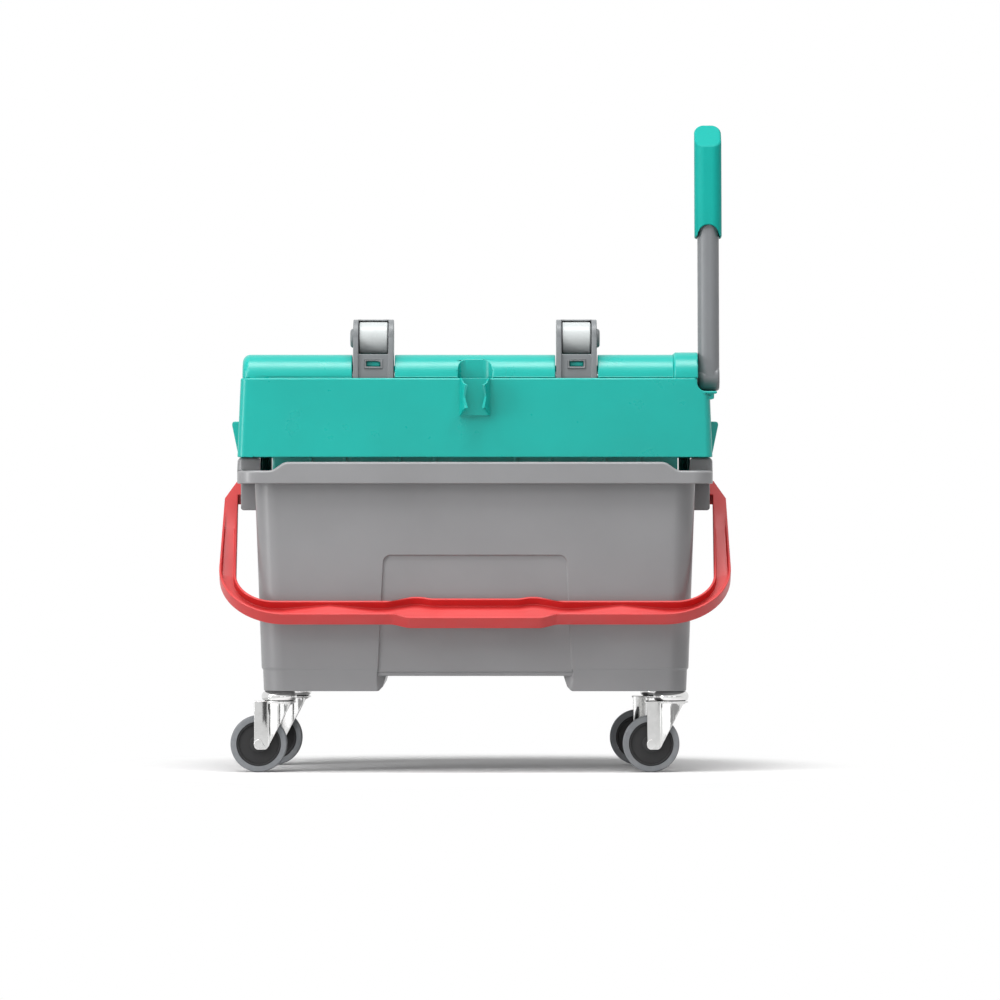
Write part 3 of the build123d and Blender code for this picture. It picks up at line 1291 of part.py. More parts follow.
with BuildPart() as shaft_clip:
    with BuildSketch(Plane.YZ.offset(RING_X - RING_WIDTH / 2)):
        with Locations((SHAFT_Y, SHAFT_Z)):
            Circle(SHAFT_RADIUS + RING_REACH)
            Circle(SHAFT_RADIUS - RING_GROOVE + RING_FIT, mode=Mode.SUBTRACT)
            Rectangle(RING_GAP, FAR, align=(Align.CENTER, Align.MAX), mode=Mode.SUBTRACT)
    extrude(amount=RING_WIDTH)
finish(shaft_clip, "shaft_clip")


def make_bush(name, side):
    """Flanged bush that carries the shaft in one cheek wall."""
    flange_end = CHEEK_X - PART_GAP
    body = (side * flange_end, side * (CHEEK_X + CHEEK_WALL + BUSH_STICK_OUT))
    flange = (side * (flange_end - BUSH_FLANGE_HEIGHT), side * flange_end)
    with BuildPart() as bush:
        rod("x", (SHAFT_Y, SHAFT_Z), BUSH_RADIUS, body)
        rod("x", (SHAFT_Y, SHAFT_Z), BUSH_RADIUS + BUSH_FLANGE, flange)
        bore = (side * (CHEEK_X - FAR), side * (CHEEK_X + FAR))
        rod("x", (SHAFT_Y, SHAFT_Z), SHAFT_RADIUS + TURN_FIT, bore, mode=Mode.SUBTRACT)
    finish(bush, name)


make_bush("left_bush", -1)
make_bush("right_bush", 1)


# Lever

LEVER_PLANE = Plane(
    origin=(LEVER_X, SHAFT_Y, SHAFT_Z),
    x_dir=(1, 0, 0),
    z_dir=(0, sin(LEAN_BACK), cos(LEAN_BACK)),
)
LEVER_HALF = LEVER_WIDTH / 2


def lever_section(height, grow):
    """Rounded section of the lever at this height along it, grown on every side."""
    with BuildSketch(LEVER_PLANE.offset(height)) as outline:
        RectangleRounded(LEVER_WIDTH + 2 * grow, LEVER_DEPTH + 2 * grow, LEVER_CORNER + grow)
    return outline.sketch


with BuildPart(LEVER_PLANE) as lever_arm:
    rod("x", (0, 0), LEVER_DEPTH / 2, (-LEVER_HALF, LEVER_HALF))
    inner_edge = lever_arm.edges().filter_by(GeomType.CIRCLE).sort_by(Axis.X)[0]
    fillet(inner_edge, POCKET_CORNER - LEVER_CORNER_GAP)
    outer_edge = lever_arm.edges().filter_by(GeomType.CIRCLE).sort_by(Axis.X)[-1]
    fillet(outer_edge, LEVER_EDGE)
    extrude(lever_section(0, 0), amount=LEVER_LENGTH, dir=LEVER_PLANE.z_dir)
    bore = lever_section(LEVER_DEPTH / 2 + LEVER_PLUG, -LEVER_WALL)
    extrude(bore, amount=LEVER_LENGTH, dir=LEVER_PLANE.z_dir, mode=Mode.SUBTRACT)
    square_half = SHAFT_SQUARE / 2 + FIXED_FIT
    square = (-square_half, square_half)
    block((-LEVER_HALF - PAST, SHAFT_RIGHT + PART_GAP - LEVER_X), square, square, mode=Mode.SUBTRACT)
    outside = LEVER_HALF + PAST
    rod("x", (0, 0), LEVER_SCREW + FIXED_FIT, (0, outside), mode=Mode.SUBTRACT)
    sink = (LEVER_HALF - LEVER_SCREW_SINK, outside)
    rod("x", (0, 0), LEVER_SCREW_HEAD + SCREW_HEAD_GAP, sink, mode=Mode.SUBTRACT)
finish(lever_arm, "lever_arm")

with BuildPart() as lever_screw:
    head_x = LEVER_X + LEVER_HALF - LEVER_SCREW_SINK
    rod("x", (SHAFT_Y, SHAFT_Z), LEVER_SCREW, (SHAFT_RIGHT - LEVER_SCREW_LENGTH, head_x))
    head = (head_x, head_x + LEVER_SCREW_SINK - SCREW_HEAD_GAP)
    rod("x", (SHAFT_Y, SHAFT_Z), LEVER_SCREW_HEAD, head)
finish(lever_screw, "lever_screw")

with BuildPart(LEVER_PLANE) as lever_grip:
    with BuildSketch(LEVER_PLANE.offset(GRIP_LOW)):
        RectangleRounded(GRIP_WIDTH, GRIP_DEPTH, GRIP_CORNER)
    extrude(amount=GRIP_BACK_TOP - GRIP_LOW + PAST)
    slant = GRIP_BACK_TOP - GRIP_FRONT_TOP
    side_plane = Plane(LEVER_PLANE.origin, LEVER_PLANE.y_dir, LEVER_PLANE.x_dir)
    with BuildSketch(side_plane.offset(-GRIP_WIDTH)):
        with BuildLine():
            Polyline(
                (-GRIP_DEPTH, GRIP_FRONT_TOP - slant / 2),
                (GRIP_DEPTH, GRIP_BACK_TOP + slant / 2),
                (GRIP_DEPTH, GRIP_BACK_TOP + slant),
                (-GRIP_DEPTH, GRIP_BACK_TOP + slant),
                close=True,
            )
        make_face()
    extrude(amount=2 * GRIP_WIDTH, mode=Mode.SUBTRACT)
    top_face = lever_grip.faces().sort_by(Axis.Z)[-1]
    fillet(top_face.edges(), GRIP_EDGE)
    scallop_y = (-GRIP_DEPTH, GRIP_DEPTH)
    rod("y", (0, GRIP_LOW), GRIP_SCALLOP, scallop_y, mode=Mode.SUBTRACT)
    bore = lever_section(GRIP_LOW - PAST, FIXED_FIT)
    bore_depth = LEVER_LENGTH - GRIP_LOW + PAST + PART_GAP
    extrude(bore, amount=bore_depth, dir=LEVER_PLANE.z_dir, mode=Mode.SUBTRACT)
finish(lever_grip, "lever_grip")


# Guide rollers in their brackets

ROLLER_Z = SHAFT_Z + ROLLER_RISE


def make_hood(middle, inner):
    """Curved wall over the back of a roller, between the bracket's cheeks."""
    span = (middle - inner - PAST, middle + inner + PAST)
    with BuildPart() as hood:
        rod("x", (SHAFT_Y, ROLLER_Z), BRACKET_EAR, span)
        bore = (span[0] - PAST, span[1] + PAST)
        rod("x", (SHAFT_Y, ROLLER_Z), ROLLER_RADIUS + HOOD_GAP, bore, mode=Mode.SUBTRACT)
        front = (SHAFT_Y - FAR, SHAFT_Y - HOOD_FRONT)
        block(bore, front, (ROLLER_Z - FAR, ROLLER_Z + FAR), mode=Mode.SUBTRACT)
        below = (ROLLER_Z - FAR, SHAFT_Z + RIDGE_RADIUS + HOOD_GAP)
        block(bore, (SHAFT_Y - FAR, SHAFT_Y + FAR), below, mode=Mode.SUBTRACT)
    return hood.part


def make_guide(word, side):
    """Bracket, roller and pin of one guide roller."""
    middle = side * BRACKET_X
    half = BRACKET_WIDTH / 2
    inner = half - BRACKET_CHEEK
    whole = (middle - half, middle + half)
    foot_z = SHAFT_Z - BRACKET_FOOT
    arch_z = SHAFT_Z + BRACKET_ARCH
    shoulder_z = SHAFT_Z + BRACKET_SHOULDER
    leg_y = BRACKET_FRONT + BRACKET_LEG
    ear = [
        (BRACKET_FRONT, foot_z),
        (leg_y, foot_z),
        (leg_y, arch_z),
        (SHAFT_Y + BRACKET_TAIL, arch_z),
        (SHAFT_Y + BRACKET_EAR, ROLLER_Z),
        (SHAFT_Y - BRACKET_EAR, ROLLER_Z),
        (BRACKET_FRONT, shoulder_z),
    ]
    with BuildPart() as bracket:
        for cheek in (-1, 1):
            span = (middle + cheek * inner, middle + cheek * half)
            prism_x(ear, span)
            rod("x", (SHAFT_Y, ROLLER_Z), BRACKET_EAR, span)
        block(whole, (WEB_Y, WEB_Y + BRACKET_WEB), (foot_z, shoulder_z))
        saddle_z = (SHAFT_Z + SADDLE_RISE, SHAFT_Z + SADDLE_RISE + SADDLE_HEIGHT)
        block(whole, (WEB_Y + PAST, SHAFT_Y - SADDLE_BACK), saddle_z)
        add(make_hood(middle, inner))
        frame_half = WINDOW_HALF + FRAME_WIDTH
        frame_y = (WEB_Y - FRAME_PROUD, WEB_Y + PAST)
        frame_z = (WINDOW_LOW - FRAME_WIDTH, WINDOW_HIGH + FRAME_WIDTH)
        block((middle - frame_half, middle + frame_half), frame_y, frame_z)
        window = (middle - WINDOW_HALF, middle + WINDOW_HALF)
        window_y = (WEB_Y - FRAME_PROUD - PAST, WEB_Y + BRACKET_WEB + PAST)
        block(window, window_y, (WINDOW_LOW, WINDOW_HIGH), mode=Mode.SUBTRACT)
        bore = (middle - half - PAST, middle + half + PAST)
        rod("x", (SHAFT_Y, ROLLER_Z), ROLLER_PIN + FIXED_FIT, bore, mode=Mode.SUBTRACT)
    finish(bracket, f"{word}_bracket")

    with BuildPart() as roller:
        roller_x = (middle - ROLLER_LENGTH / 2, middle + ROLLER_LENGTH / 2)
        rod("x", (SHAFT_Y, ROLLER_Z), ROLLER_RADIUS, roller_x)
        fillet(roller.edges().filter_by(GeomType.CIRCLE), ROLLER_EDGE)
        rod("x", (SHAFT_Y, ROLLER_Z), ROLLER_PIN + TURN_FIT, whole, mode=Mode.SUBTRACT)
    finish(roller, f"{word}_roller")

    with BuildPart() as pin:
        outer = middle + side * half
        rod("x", (SHAFT_Y, ROLLER_Z), PIN_HEAD_RADIUS, (outer, outer + side * PIN_HEAD_HEIGHT))
        crown = pin.faces().sort_by(Axis.X)[-1 if side > 0 else 0]
        fillet(crown.edges(), PIN_HEAD_HEIGHT - PART_GAP)
        rod("x", (SHAFT_Y, ROLLER_Z), ROLLER_PIN, (outer, middle - side * half))
    finish(pin, f"{word}_roller_pin")


make_guide("left", -1)
make_guide("right", 1)


# Clip for the mop stick

with BuildPart() as stick_clip:
    clip_low = DECK_TOP - CLIP_HEIGHT
    clip_z = (clip_low, DECK_TOP)
    through_z = (clip_low - PAST, DECK_TOP + PAST)
    plate_half = CLIP_WIDTH / 2
    plate_y = PANEL_Y - CLIP_BASE
    rod("z", (0, STICK_Y), STICK_RADIUS + CLIP_WALL, clip_z)
    rod("z", (0, STICK_Y), STICK_RADIUS, through_z, mode=Mode.SUBTRACT)
    block((-FAR, FAR), (STICK_Y, STICK_Y + FAR), through_z, mode=Mode.SUBTRACT)
    for side in (-1, 1):
        with BuildSketch(Plane.XY.offset(clip_low)) as flare:
            with BuildLine():
                Polyline(
                    (side * STICK_RADIUS, STICK_Y),
                    (side * (STICK_RADIUS + CLIP_WALL), STICK_Y),
                    (side * plate_half, plate_y),
                    (side * (plate_half - CLIP_WALL), plate_y),
                    close=True,
                )
            make_face()
        extrude(flare.sketch, amount=CLIP_HEIGHT, dir=(0, 0, 1))
    block((-plate_half, plate_half), (plate_y, PANEL_Y), clip_z)
    tip_y = STICK_Y - CLIP_TIP_DEPTH
    corner_y = STICK_Y + CLIP_CORNER_DEPTH
    front_y = STICK_Y - FAR
    prism_x(
        [
            (corner_y, clip_low),
            (tip_y, clip_low + CLIP_TIP_RISE),
            (STICK_Y - CLIP_WAIST_DEPTH, clip_low + CLIP_HEIGHT / 2),
            (tip_y, DECK_TOP - CLIP_TIP_RISE),
            (corner_y, DECK_TOP),
            (front_y, DECK_TOP),
            (front_y, clip_low),
        ],
        (-FAR, FAR),
        mode=Mode.SUBTRACT,
    )
    for peg_z in PEG_ZS:
        rod("y", (0, peg_z), CLIP_PEG, (PANEL_Y - PAST, PANEL_INSIDE_Y + CLIP_PEG_END))
finish(stick_clip, "stick_clip")
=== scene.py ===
# %% [markdown]
# # A mop bucket with a lever wringer
# The construction comes in as a fixed frame: every piece at its real size, in metres, with the
# joints that move it. This lesson gives the pieces their moulded edges and their finishes, models
# the tyres anew, cuts the cross into the lever's screw, and sets up a plain studio around them.

# %% Load the frame
import json
import math

import bmesh
import bpy
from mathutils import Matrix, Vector

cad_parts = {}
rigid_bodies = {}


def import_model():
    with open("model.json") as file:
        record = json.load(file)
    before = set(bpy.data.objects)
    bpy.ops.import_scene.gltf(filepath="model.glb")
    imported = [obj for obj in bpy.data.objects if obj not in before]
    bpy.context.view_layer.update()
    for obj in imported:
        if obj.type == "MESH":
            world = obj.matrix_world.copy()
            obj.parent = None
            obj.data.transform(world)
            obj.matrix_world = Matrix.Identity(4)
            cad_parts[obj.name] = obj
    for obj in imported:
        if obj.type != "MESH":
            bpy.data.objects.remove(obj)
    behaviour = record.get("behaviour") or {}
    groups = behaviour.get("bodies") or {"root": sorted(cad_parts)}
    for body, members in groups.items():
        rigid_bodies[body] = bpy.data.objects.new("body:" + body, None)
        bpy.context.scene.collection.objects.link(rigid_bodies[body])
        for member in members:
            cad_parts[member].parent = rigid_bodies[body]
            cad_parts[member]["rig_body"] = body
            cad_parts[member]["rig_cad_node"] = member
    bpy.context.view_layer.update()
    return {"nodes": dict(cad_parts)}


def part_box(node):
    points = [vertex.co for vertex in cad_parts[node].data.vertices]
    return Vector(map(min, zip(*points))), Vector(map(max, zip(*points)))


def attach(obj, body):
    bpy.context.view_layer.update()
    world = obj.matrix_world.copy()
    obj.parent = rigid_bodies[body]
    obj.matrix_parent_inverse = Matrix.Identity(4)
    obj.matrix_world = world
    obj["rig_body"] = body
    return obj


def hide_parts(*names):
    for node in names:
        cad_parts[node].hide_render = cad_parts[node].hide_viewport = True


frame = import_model()

# %% [markdown]
# The photograph was taken level, from far away with a long lens, so upright lines stay upright and
# the rear casters look only a little smaller than the front ones. A nearer camera would need a
# shorter lens and would splay the bucket's sides.

# %% Camera
CAMERA_X = 0.0263
CAMERA_HEIGHT = 0.287
CAMERA_DISTANCE = 6.36
LENS = 213.9
SENSOR = 36.0

camera_data = bpy.data.cameras.new("camera")
camera_data.lens = LENS
camera_data.sensor_width = SENSOR
camera_data.dof.use_dof = False
camera = bpy.data.objects.new("camera", camera_data)
camera.location = (CAMERA_X, -CAMERA_DISTANCE, CAMERA_HEIGHT)
camera.rotation_euler = (math.radians(90), 0, 0)
bpy.context.scene.collection.objects.link(camera)
bpy.context.scene.camera = camera
print("camera looks along +Y from", CAMERA_DISTANCE, "m")

# %% [markdown]
# A studio is a white room and soft lamps. The world is white to the camera, to mirrors and to
# glass, and dimmer as a source of light, so that colours come out about as they are written. The
# Light Path node tells these rays apart.

# %% World
FILL = 0.29

bpy.context.scene.view_settings.view_transform = "Standard"


def seen_directly(tree):
    """Socket that is one for rays that show the studio: from the camera, a mirror or glass."""
    path = tree.nodes.new("ShaderNodeLightPath")
    total = path.outputs["Is Camera Ray"]
    for ray in ("Is Glossy Ray", "Is Transmission Ray"):
        larger = tree.nodes.new("ShaderNodeMath")
        larger.operation = "MAXIMUM"
        tree.links.new(total, larger.inputs[0])
        tree.links.new(path.outputs[ray], larger.inputs[1])
        total = larger.outputs[0]
    return total


def mix_shaders(tree, factor, first, second):
    """Shader socket between two others: the first at zero, the second at one."""
    mix = tree.nodes.new("ShaderNodeMixShader")
    tree.links.new(factor, mix.inputs["Fac"])
    tree.links.new(first, mix.inputs[1])
    tree.links.new(second, mix.inputs[2])
    return mix.outputs[0]


world = bpy.data.worlds.new("studio")
bpy.context.scene.world = world
world.use_nodes = True
world.node_tree.nodes.clear()
backgrounds = []
for strength in (FILL, 1.0):
    background = world.node_tree.nodes.new("ShaderNodeBackground")
    background.inputs["Color"].default_value = (1.0, 1.0, 1.0, 1.0)
    background.inputs["Strength"].default_value = strength
    backgrounds.append(background.outputs[0])
room = mix_shaders(world.node_tree, seen_directly(world.node_tree), *backgrounds)
world_out = world.node_tree.nodes.new("ShaderNodeOutputWorld")
world.node_tree.links.new(room, world_out.inputs["Surface"])
print("world fill", FILL)

# %% [markdown]
# The floor is a white sheet. Near the bucket it takes the shadow and a trace of a reflection, and
# further out it turns into plain white, so no horizon shows. To light that bounces, it is a darker
# grey, as in a room where only a small sheet lies under the object. From below it is clear, so that
# the casters can be looked at.

# %% Floor
FLOOR_SIZE = 60.0
FLOOR_WHITE = 1.0
FLOOR_BOUNCE = 0.58
FLOOR_GLOSS = 0.05
FLOOR_ROUGHNESS = 0.12
SHEET_INNER = 0.28
SHEET_OUTER = 0.43


def select_none():
    """Take every object out of the selection."""
    for item in bpy.context.selected_objects:
        item.select_set(False)


def pick(piece):
    """Select one object and nothing else."""
    select_none()
    piece.select_set(True)
    bpy.context.view_layer.objects.active = piece


def plain_shader(tree, kind, brightness):
    """New shader node of this kind with a grey of this brightness as its colour."""
    shader = tree.nodes.new(kind)
    shader.inputs["Color"].default_value = (brightness, brightness, brightness, 1.0)
    return shader


def floor_material():
    """White sheet that fades into plain white away from the object."""
    material = bpy.data.materials.new("white_sheet")
    material.use_nodes = True
    tree = material.node_tree
    tree.nodes.clear()
    place = tree.nodes.new("ShaderNodeTexCoord")
    length = tree.nodes.new("ShaderNodeVectorMath")
    length.operation = "LENGTH"
    tree.links.new(place.outputs["Object"], length.inputs[0])
    fade = tree.nodes.new("ShaderNodeMapRange")
    fade.interpolation_type = "SMOOTHSTEP"
    fade.inputs["From Min"].default_value = SHEET_INNER
    fade.inputs["From Max"].default_value = SHEET_OUTER
    tree.links.new(length.outputs["Value"], fade.inputs["Value"])
    paper = plain_shader(tree, "ShaderNodeBsdfDiffuse", FLOOR_WHITE)
    gloss = plain_shader(tree, "ShaderNodeBsdfGlossy", 1.0)
    gloss.inputs["Roughness"].default_value = FLOOR_ROUGHNESS
    sheet = tree.nodes.new("ShaderNodeMixShader")
    sheet.inputs["Fac"].default_value = FLOOR_GLOSS
    tree.links.new(paper.outputs[0], sheet.inputs[1])
    tree.links.new(gloss.outputs[0], sheet.inputs[2])
    glow = plain_shader(tree, "ShaderNodeEmission", 1.0)
    shown = mix_shaders(tree, fade.outputs["Result"], sheet.outputs[0], glow.outputs[0])
    bounce = plain_shader(tree, "ShaderNodeBsdfDiffuse", FLOOR_BOUNCE)
    both = mix_shaders(tree, seen_directly(tree), bounce.outputs[0], shown)
    side = tree.nodes.new("ShaderNodeNewGeometry")
    clear = plain_shader(tree, "ShaderNodeBsdfTransparent", 1.0)
    one_sided = mix_shaders(tree, side.outputs["Backfacing"], both, clear.outputs[0])
    out = tree.nodes.new("ShaderNodeOutputMaterial")
    tree.links.new(one_sided, out.inputs["Surface"])
    return material


select_none()
bpy.ops.mesh.primitive_plane_add(size=FLOOR_SIZE, location=(0.0, 0.0, 0.0))
floor = bpy.context.object
floor.name = "floor"
floor.data.materials.append(floor_material())
print("floor", FLOOR_SIZE, "m wide")

# %% [markdown]
# The key lamp is a large softbox high on the left in front. A second one hangs overhead, a little
# in front, and draws the bright lines along the top edges, and a tall one on the left does the same
# for the upright edges. The camera looks down on the casters a little, so their bright zinc mirrors
# a low band in front of them. Low cards stand there side by side that only reflections see, by
# turns grey, dark and bright, and give the zinc its bands.

# %% Lamps and cards
MIDDLE = (0.0, 0.0, 0.3)
CARD_Y = -0.85
CARD_HEIGHT = 0.15
CARD_START = -0.36
GREY_CARD = 0.85
DARK_CARD = 0.08
BRIGHT_CARD = 1.5
FAR_CARD = 0.35
CARDS = (
    ("card_left_grey", -0.205, GREY_CARD),
    ("card_left_dark", -0.13, DARK_CARD),
    ("card_left_bright", 0.15, BRIGHT_CARD),
    ("card_right_grey", 0.245, GREY_CARD),
    ("card_right_dark", 0.31, DARK_CARD),
    ("card_right_bright", 0.63, BRIGHT_CARD),
    ("card_far_right", 2.2, FAR_CARD),
)


def soft_lamp(name, place, width, height, power):
    """Soft lamp of this width and height at place, turned to the middle of the object."""
    data = bpy.data.lights.new(name, "AREA")
    data.shape = "RECTANGLE"
    data.size = width
    data.size_y = height
    data.energy = power
    lamp = bpy.data.objects.new(name, data)
    lamp.location = place
    lamp.rotation_euler = (Vector(MIDDLE) - Vector(place)).to_track_quat("-Z", "Y").to_euler()
    bpy.context.scene.collection.objects.link(lamp)


def low_card(name, left, right, brightness):
    """Upright card between two places across, which glows this much and shows only in reflections."""
    place = ((left + right) / 2, CARD_Y, CARD_HEIGHT / 2)
    bpy.ops.mesh.primitive_plane_add(size=1.0, location=place, rotation=(math.radians(90), 0.0, 0.0))
    sheet = bpy.context.object
    sheet.name = name
    sheet.scale = (right - left, CARD_HEIGHT, 1.0)
    material = bpy.data.materials.new(name)
    material.use_nodes = True
    tree = material.node_tree
    tree.nodes.clear()
    glow = plain_shader(tree, "ShaderNodeEmission", brightness)
    out = tree.nodes.new("ShaderNodeOutputMaterial")
    tree.links.new(glow.outputs[0], out.inputs["Surface"])
    sheet.data.materials.append(material)
    sheet.visible_camera = False
    sheet.visible_diffuse = False
    sheet.visible_shadow = False


soft_lamp("key", place=(-1.5, -2.2, 2.6), width=2.0, height=2.0, power=35.0)
soft_lamp("overhead", place=(0.05, -0.75, 2.3), width=1.8, height=0.9, power=45.0)
soft_lamp("strip", place=(-2.2, -1.3, 0.75), width=0.7, height=1.6, power=27.0)
card_left = CARD_START
for card_name, card_right, card_glow in CARDS:
    low_card(card_name, card_left, card_right, card_glow)
    card_left = card_right
print("lamps:", len(bpy.data.lights), "cards:", len(CARDS))

# %% [markdown]
# Every finish starts from the same few moves: a Principled shader, soft clouds of noise on the
# object's own coordinates, a range that turns the noise into a number, a drift between two shades
# of a colour and a relief that bends the light. Object coordinates are in metres, so a size of
# 0.001 is a millimetre on the real piece. The Mix node has a set of sockets for each kind of data,
# with the same names, so the ones for colours are called by their numbers.

# %% Helpers for the finishes
MIX_FACTOR = 0
MIX_FIRST = 6
MIX_SECOND = 7
MIX_RESULT = 2

finishes = {}


def start_finish(slot, colour, roughness, metal=0.0, gloss=0.5):
    """New material for a slot, with its plain values set on the shader."""
    material = bpy.data.materials.new(slot)
    material.use_nodes = True
    shader = material.node_tree.nodes["Principled BSDF"]
    shader.inputs["Base Color"].default_value = (*colour, 1.0)
    shader.inputs["Roughness"].default_value = roughness
    shader.inputs["Metallic"].default_value = metal
    shader.inputs["Specular IOR Level"].default_value = gloss
    finishes[slot] = material
    return material


def connect(material, source, name):
    """Join a socket to the shader's input of this name."""
    shader = material.node_tree.nodes["Principled BSDF"]
    material.node_tree.links.new(source, shader.inputs[name])


def clouds(material, size, detail=3.0, stretch=(1.0, 1.0, 1.0)):
    """Noise socket with blobs of this size in metres, stretched along the axes."""
    tree = material.node_tree
    place = tree.nodes.new("ShaderNodeTexCoord")
    mapping = tree.nodes.new("ShaderNodeMapping")
    mapping.inputs["Scale"].default_value = [1.0 / (size * factor) for factor in stretch]
    noise = tree.nodes.new("ShaderNodeTexNoise")
    noise.inputs["Scale"].default_value = 1.0
    noise.inputs["Detail"].default_value = detail
    tree.links.new(place.outputs["Object"], mapping.inputs["Vector"])
    tree.links.new(mapping.outputs["Vector"], noise.inputs["Vector"])
    return noise.outputs[0]


def spread(material, source, low, high, start=0.3, end=0.7):
    """Socket that runs from low to high while the source runs from start to end."""
    ranged = material.node_tree.nodes.new("ShaderNodeMapRange")
    ranged.inputs["From Min"].default_value = start
    ranged.inputs["From Max"].default_value = end
    ranged.inputs["To Min"].default_value = low
    ranged.inputs["To Max"].default_value = high
    material.node_tree.links.new(source, ranged.inputs["Value"])
    return ranged.outputs["Result"]


def shade(colour, factor):
    """Colour made lighter or darker by a factor."""
    return tuple(min(1.0, channel * factor) for channel in colour)


def drift(material, factor, colour, shades):
    """Colour socket that runs between two shades of a colour, given as two factors."""
    darker, lighter = shades
    mix = material.node_tree.nodes.new("ShaderNodeMix")
    mix.data_type = "RGBA"
    mix.inputs[MIX_FIRST].default_value = (*shade(colour, darker), 1.0)
    mix.inputs[MIX_SECOND].default_value = (*shade(colour, lighter), 1.0)
    material.node_tree.links.new(factor, mix.inputs[MIX_FACTOR])
    return mix.outputs[MIX_RESULT]


def layer(material, factor, under, over):
    """Colour socket with a colour laid over a colour socket where the factor is one."""
    mix = material.node_tree.nodes.new("ShaderNodeMix")
    mix.data_type = "RGBA"
    mix.inputs[MIX_SECOND].default_value = (*over, 1.0)
    material.node_tree.links.new(factor, mix.inputs[MIX_FACTOR])
    material.node_tree.links.new(under, mix.inputs[MIX_FIRST])
    return mix.outputs[MIX_RESULT]


def relief(material, *layers):
    """Bend the surface by one or more height sockets, each with its depth in metres."""
    tree = material.node_tree
    normal = None
    for height, depth in layers:
        bump = tree.nodes.new("ShaderNodeBump")
        bump.inputs["Strength"].default_value = 1.0
        bump.inputs["Distance"].default_value = depth
        tree.links.new(height, bump.inputs["Height"])
        if normal is not None:
            tree.links.new(normal, bump.inputs["Normal"])
        normal = bump.outputs["Normal"]
    connect(material, normal, "Normal")


# %% [markdown]
# Injection-moulded plastic is one colour all through, with a fine eroded grain from the mould, a
# slow drift in shade where the melt flowed, and a gloss that wanders a little. Handling leaves faint
# scuffs, which are thin, stretched and a touch paler. One function makes all the plastics, with the
# colour, the gloss and the depth of the grain as its values.

# %% Moulded plastics
FLOW_SIZE = 0.09
FLOW_SHADES = (0.95, 1.04)
FLOW_DEPTH = 0.00006
POLISH_SIZE = 0.025
GLOSSIER = 0.04
DULLER = 0.05
GRAIN_SIZE = 0.0009
SCUFF_SIZE = 0.012
SCUFF_STRETCH = (3.0, 3.0, 0.25)
SCUFF_START = 0.60
SCUFF_END = 0.78
SCUFF_PALE = 0.3


def moulded_plastic(slot, colour, roughness, grain, gloss=0.4, scuff=0.03):
    """Plastic with flow shades, wandering gloss, mould grain and faint scuffs."""
    material = start_finish(slot, colour, roughness, gloss=gloss)
    flow = clouds(material, FLOW_SIZE)
    base = drift(material, spread(material, flow, 0.0, 1.0), colour, FLOW_SHADES)
    marks = clouds(material, SCUFF_SIZE, detail=6.0, stretch=SCUFF_STRETCH)
    worn = spread(material, marks, 0.0, scuff, start=SCUFF_START, end=SCUFF_END)
    paler = tuple((1.0 - SCUFF_PALE) * channel + SCUFF_PALE * max(colour) for channel in colour)
    connect(material, layer(material, worn, base, paler), "Base Color")
    polish = clouds(material, POLISH_SIZE, detail=5.0)
    connect(material, spread(material, polish, roughness - GLOSSIER, roughness + DULLER), "Roughness")
    pits = clouds(material, GRAIN_SIZE, detail=2.0)
    relief(material, (flow, FLOW_DEPTH), (pits, grain))


moulded_plastic("bucket_grey", (0.270, 0.270, 0.277), roughness=0.32, grain=0.00005, gloss=0.48)
moulded_plastic("bail_red", (0.61, 0.028, 0.028), roughness=0.36, grain=0.00003, gloss=0.54)
moulded_plastic("wringer_teal", (0.003, 0.400, 0.347), roughness=0.30, grain=0.00001, gloss=0.46)
moulded_plastic("bracket_grey", (0.190, 0.202, 0.210), roughness=0.36, grain=0.00003, gloss=0.40)
moulded_plastic("roller_white", (0.53, 0.56, 0.56), roughness=0.30, grain=0.00001, gloss=0.45, scuff=0.0)
moulded_plastic("bush_plastic", (0.69, 0.67, 0.58), roughness=0.40, grain=0.00002)
moulded_plastic("soft_grip", (0.003, 0.340, 0.295), roughness=0.55, grain=0.00004, gloss=0.18)
moulded_plastic("hub_black", (0.030, 0.030, 0.031), roughness=0.50, grain=0.00005, gloss=0.30)
print("plastics:", sorted(finishes))

# %% [markdown]
# The lever is a steel tube with a baked powder coat. The powder melts into small soft hills, the
# orange peel that gives such paint its satin look, so its relief is coarser than a plastic's grain.

# %% Powder coat
PEEL_SIZE = 0.0022
PEEL_DEPTH = 0.00008
LEVER_COLOUR = (0.186, 0.194, 0.203)
LEVER_SHADES = (0.95, 1.05)
LEVER_ROUGHNESS = 0.34
LEVER_POLISH = (0.30, 0.40)

powder = start_finish("lever_grey", LEVER_COLOUR, LEVER_ROUGHNESS, gloss=0.45)
coat = spread(powder, clouds(powder, FLOW_SIZE), 0.0, 1.0)
connect(powder, drift(powder, coat, LEVER_COLOUR, LEVER_SHADES), "Base Color")
connect(powder, spread(powder, clouds(powder, POLISH_SIZE), *LEVER_POLISH), "Roughness")
relief(powder, (clouds(powder, PEEL_SIZE, detail=1.0), PEEL_DEPTH))
print("powder coat ready")

# %% [markdown]
# The casters are stamped steel with a bright zinc plate. Such a plate is almost a mirror, with fine
# crystals that differ by a hair in brightness and a thin haze. Voronoi cells give the crystals, and
# clouds give the haze. The shaft and the pins are turned steel, with fine marks round them.

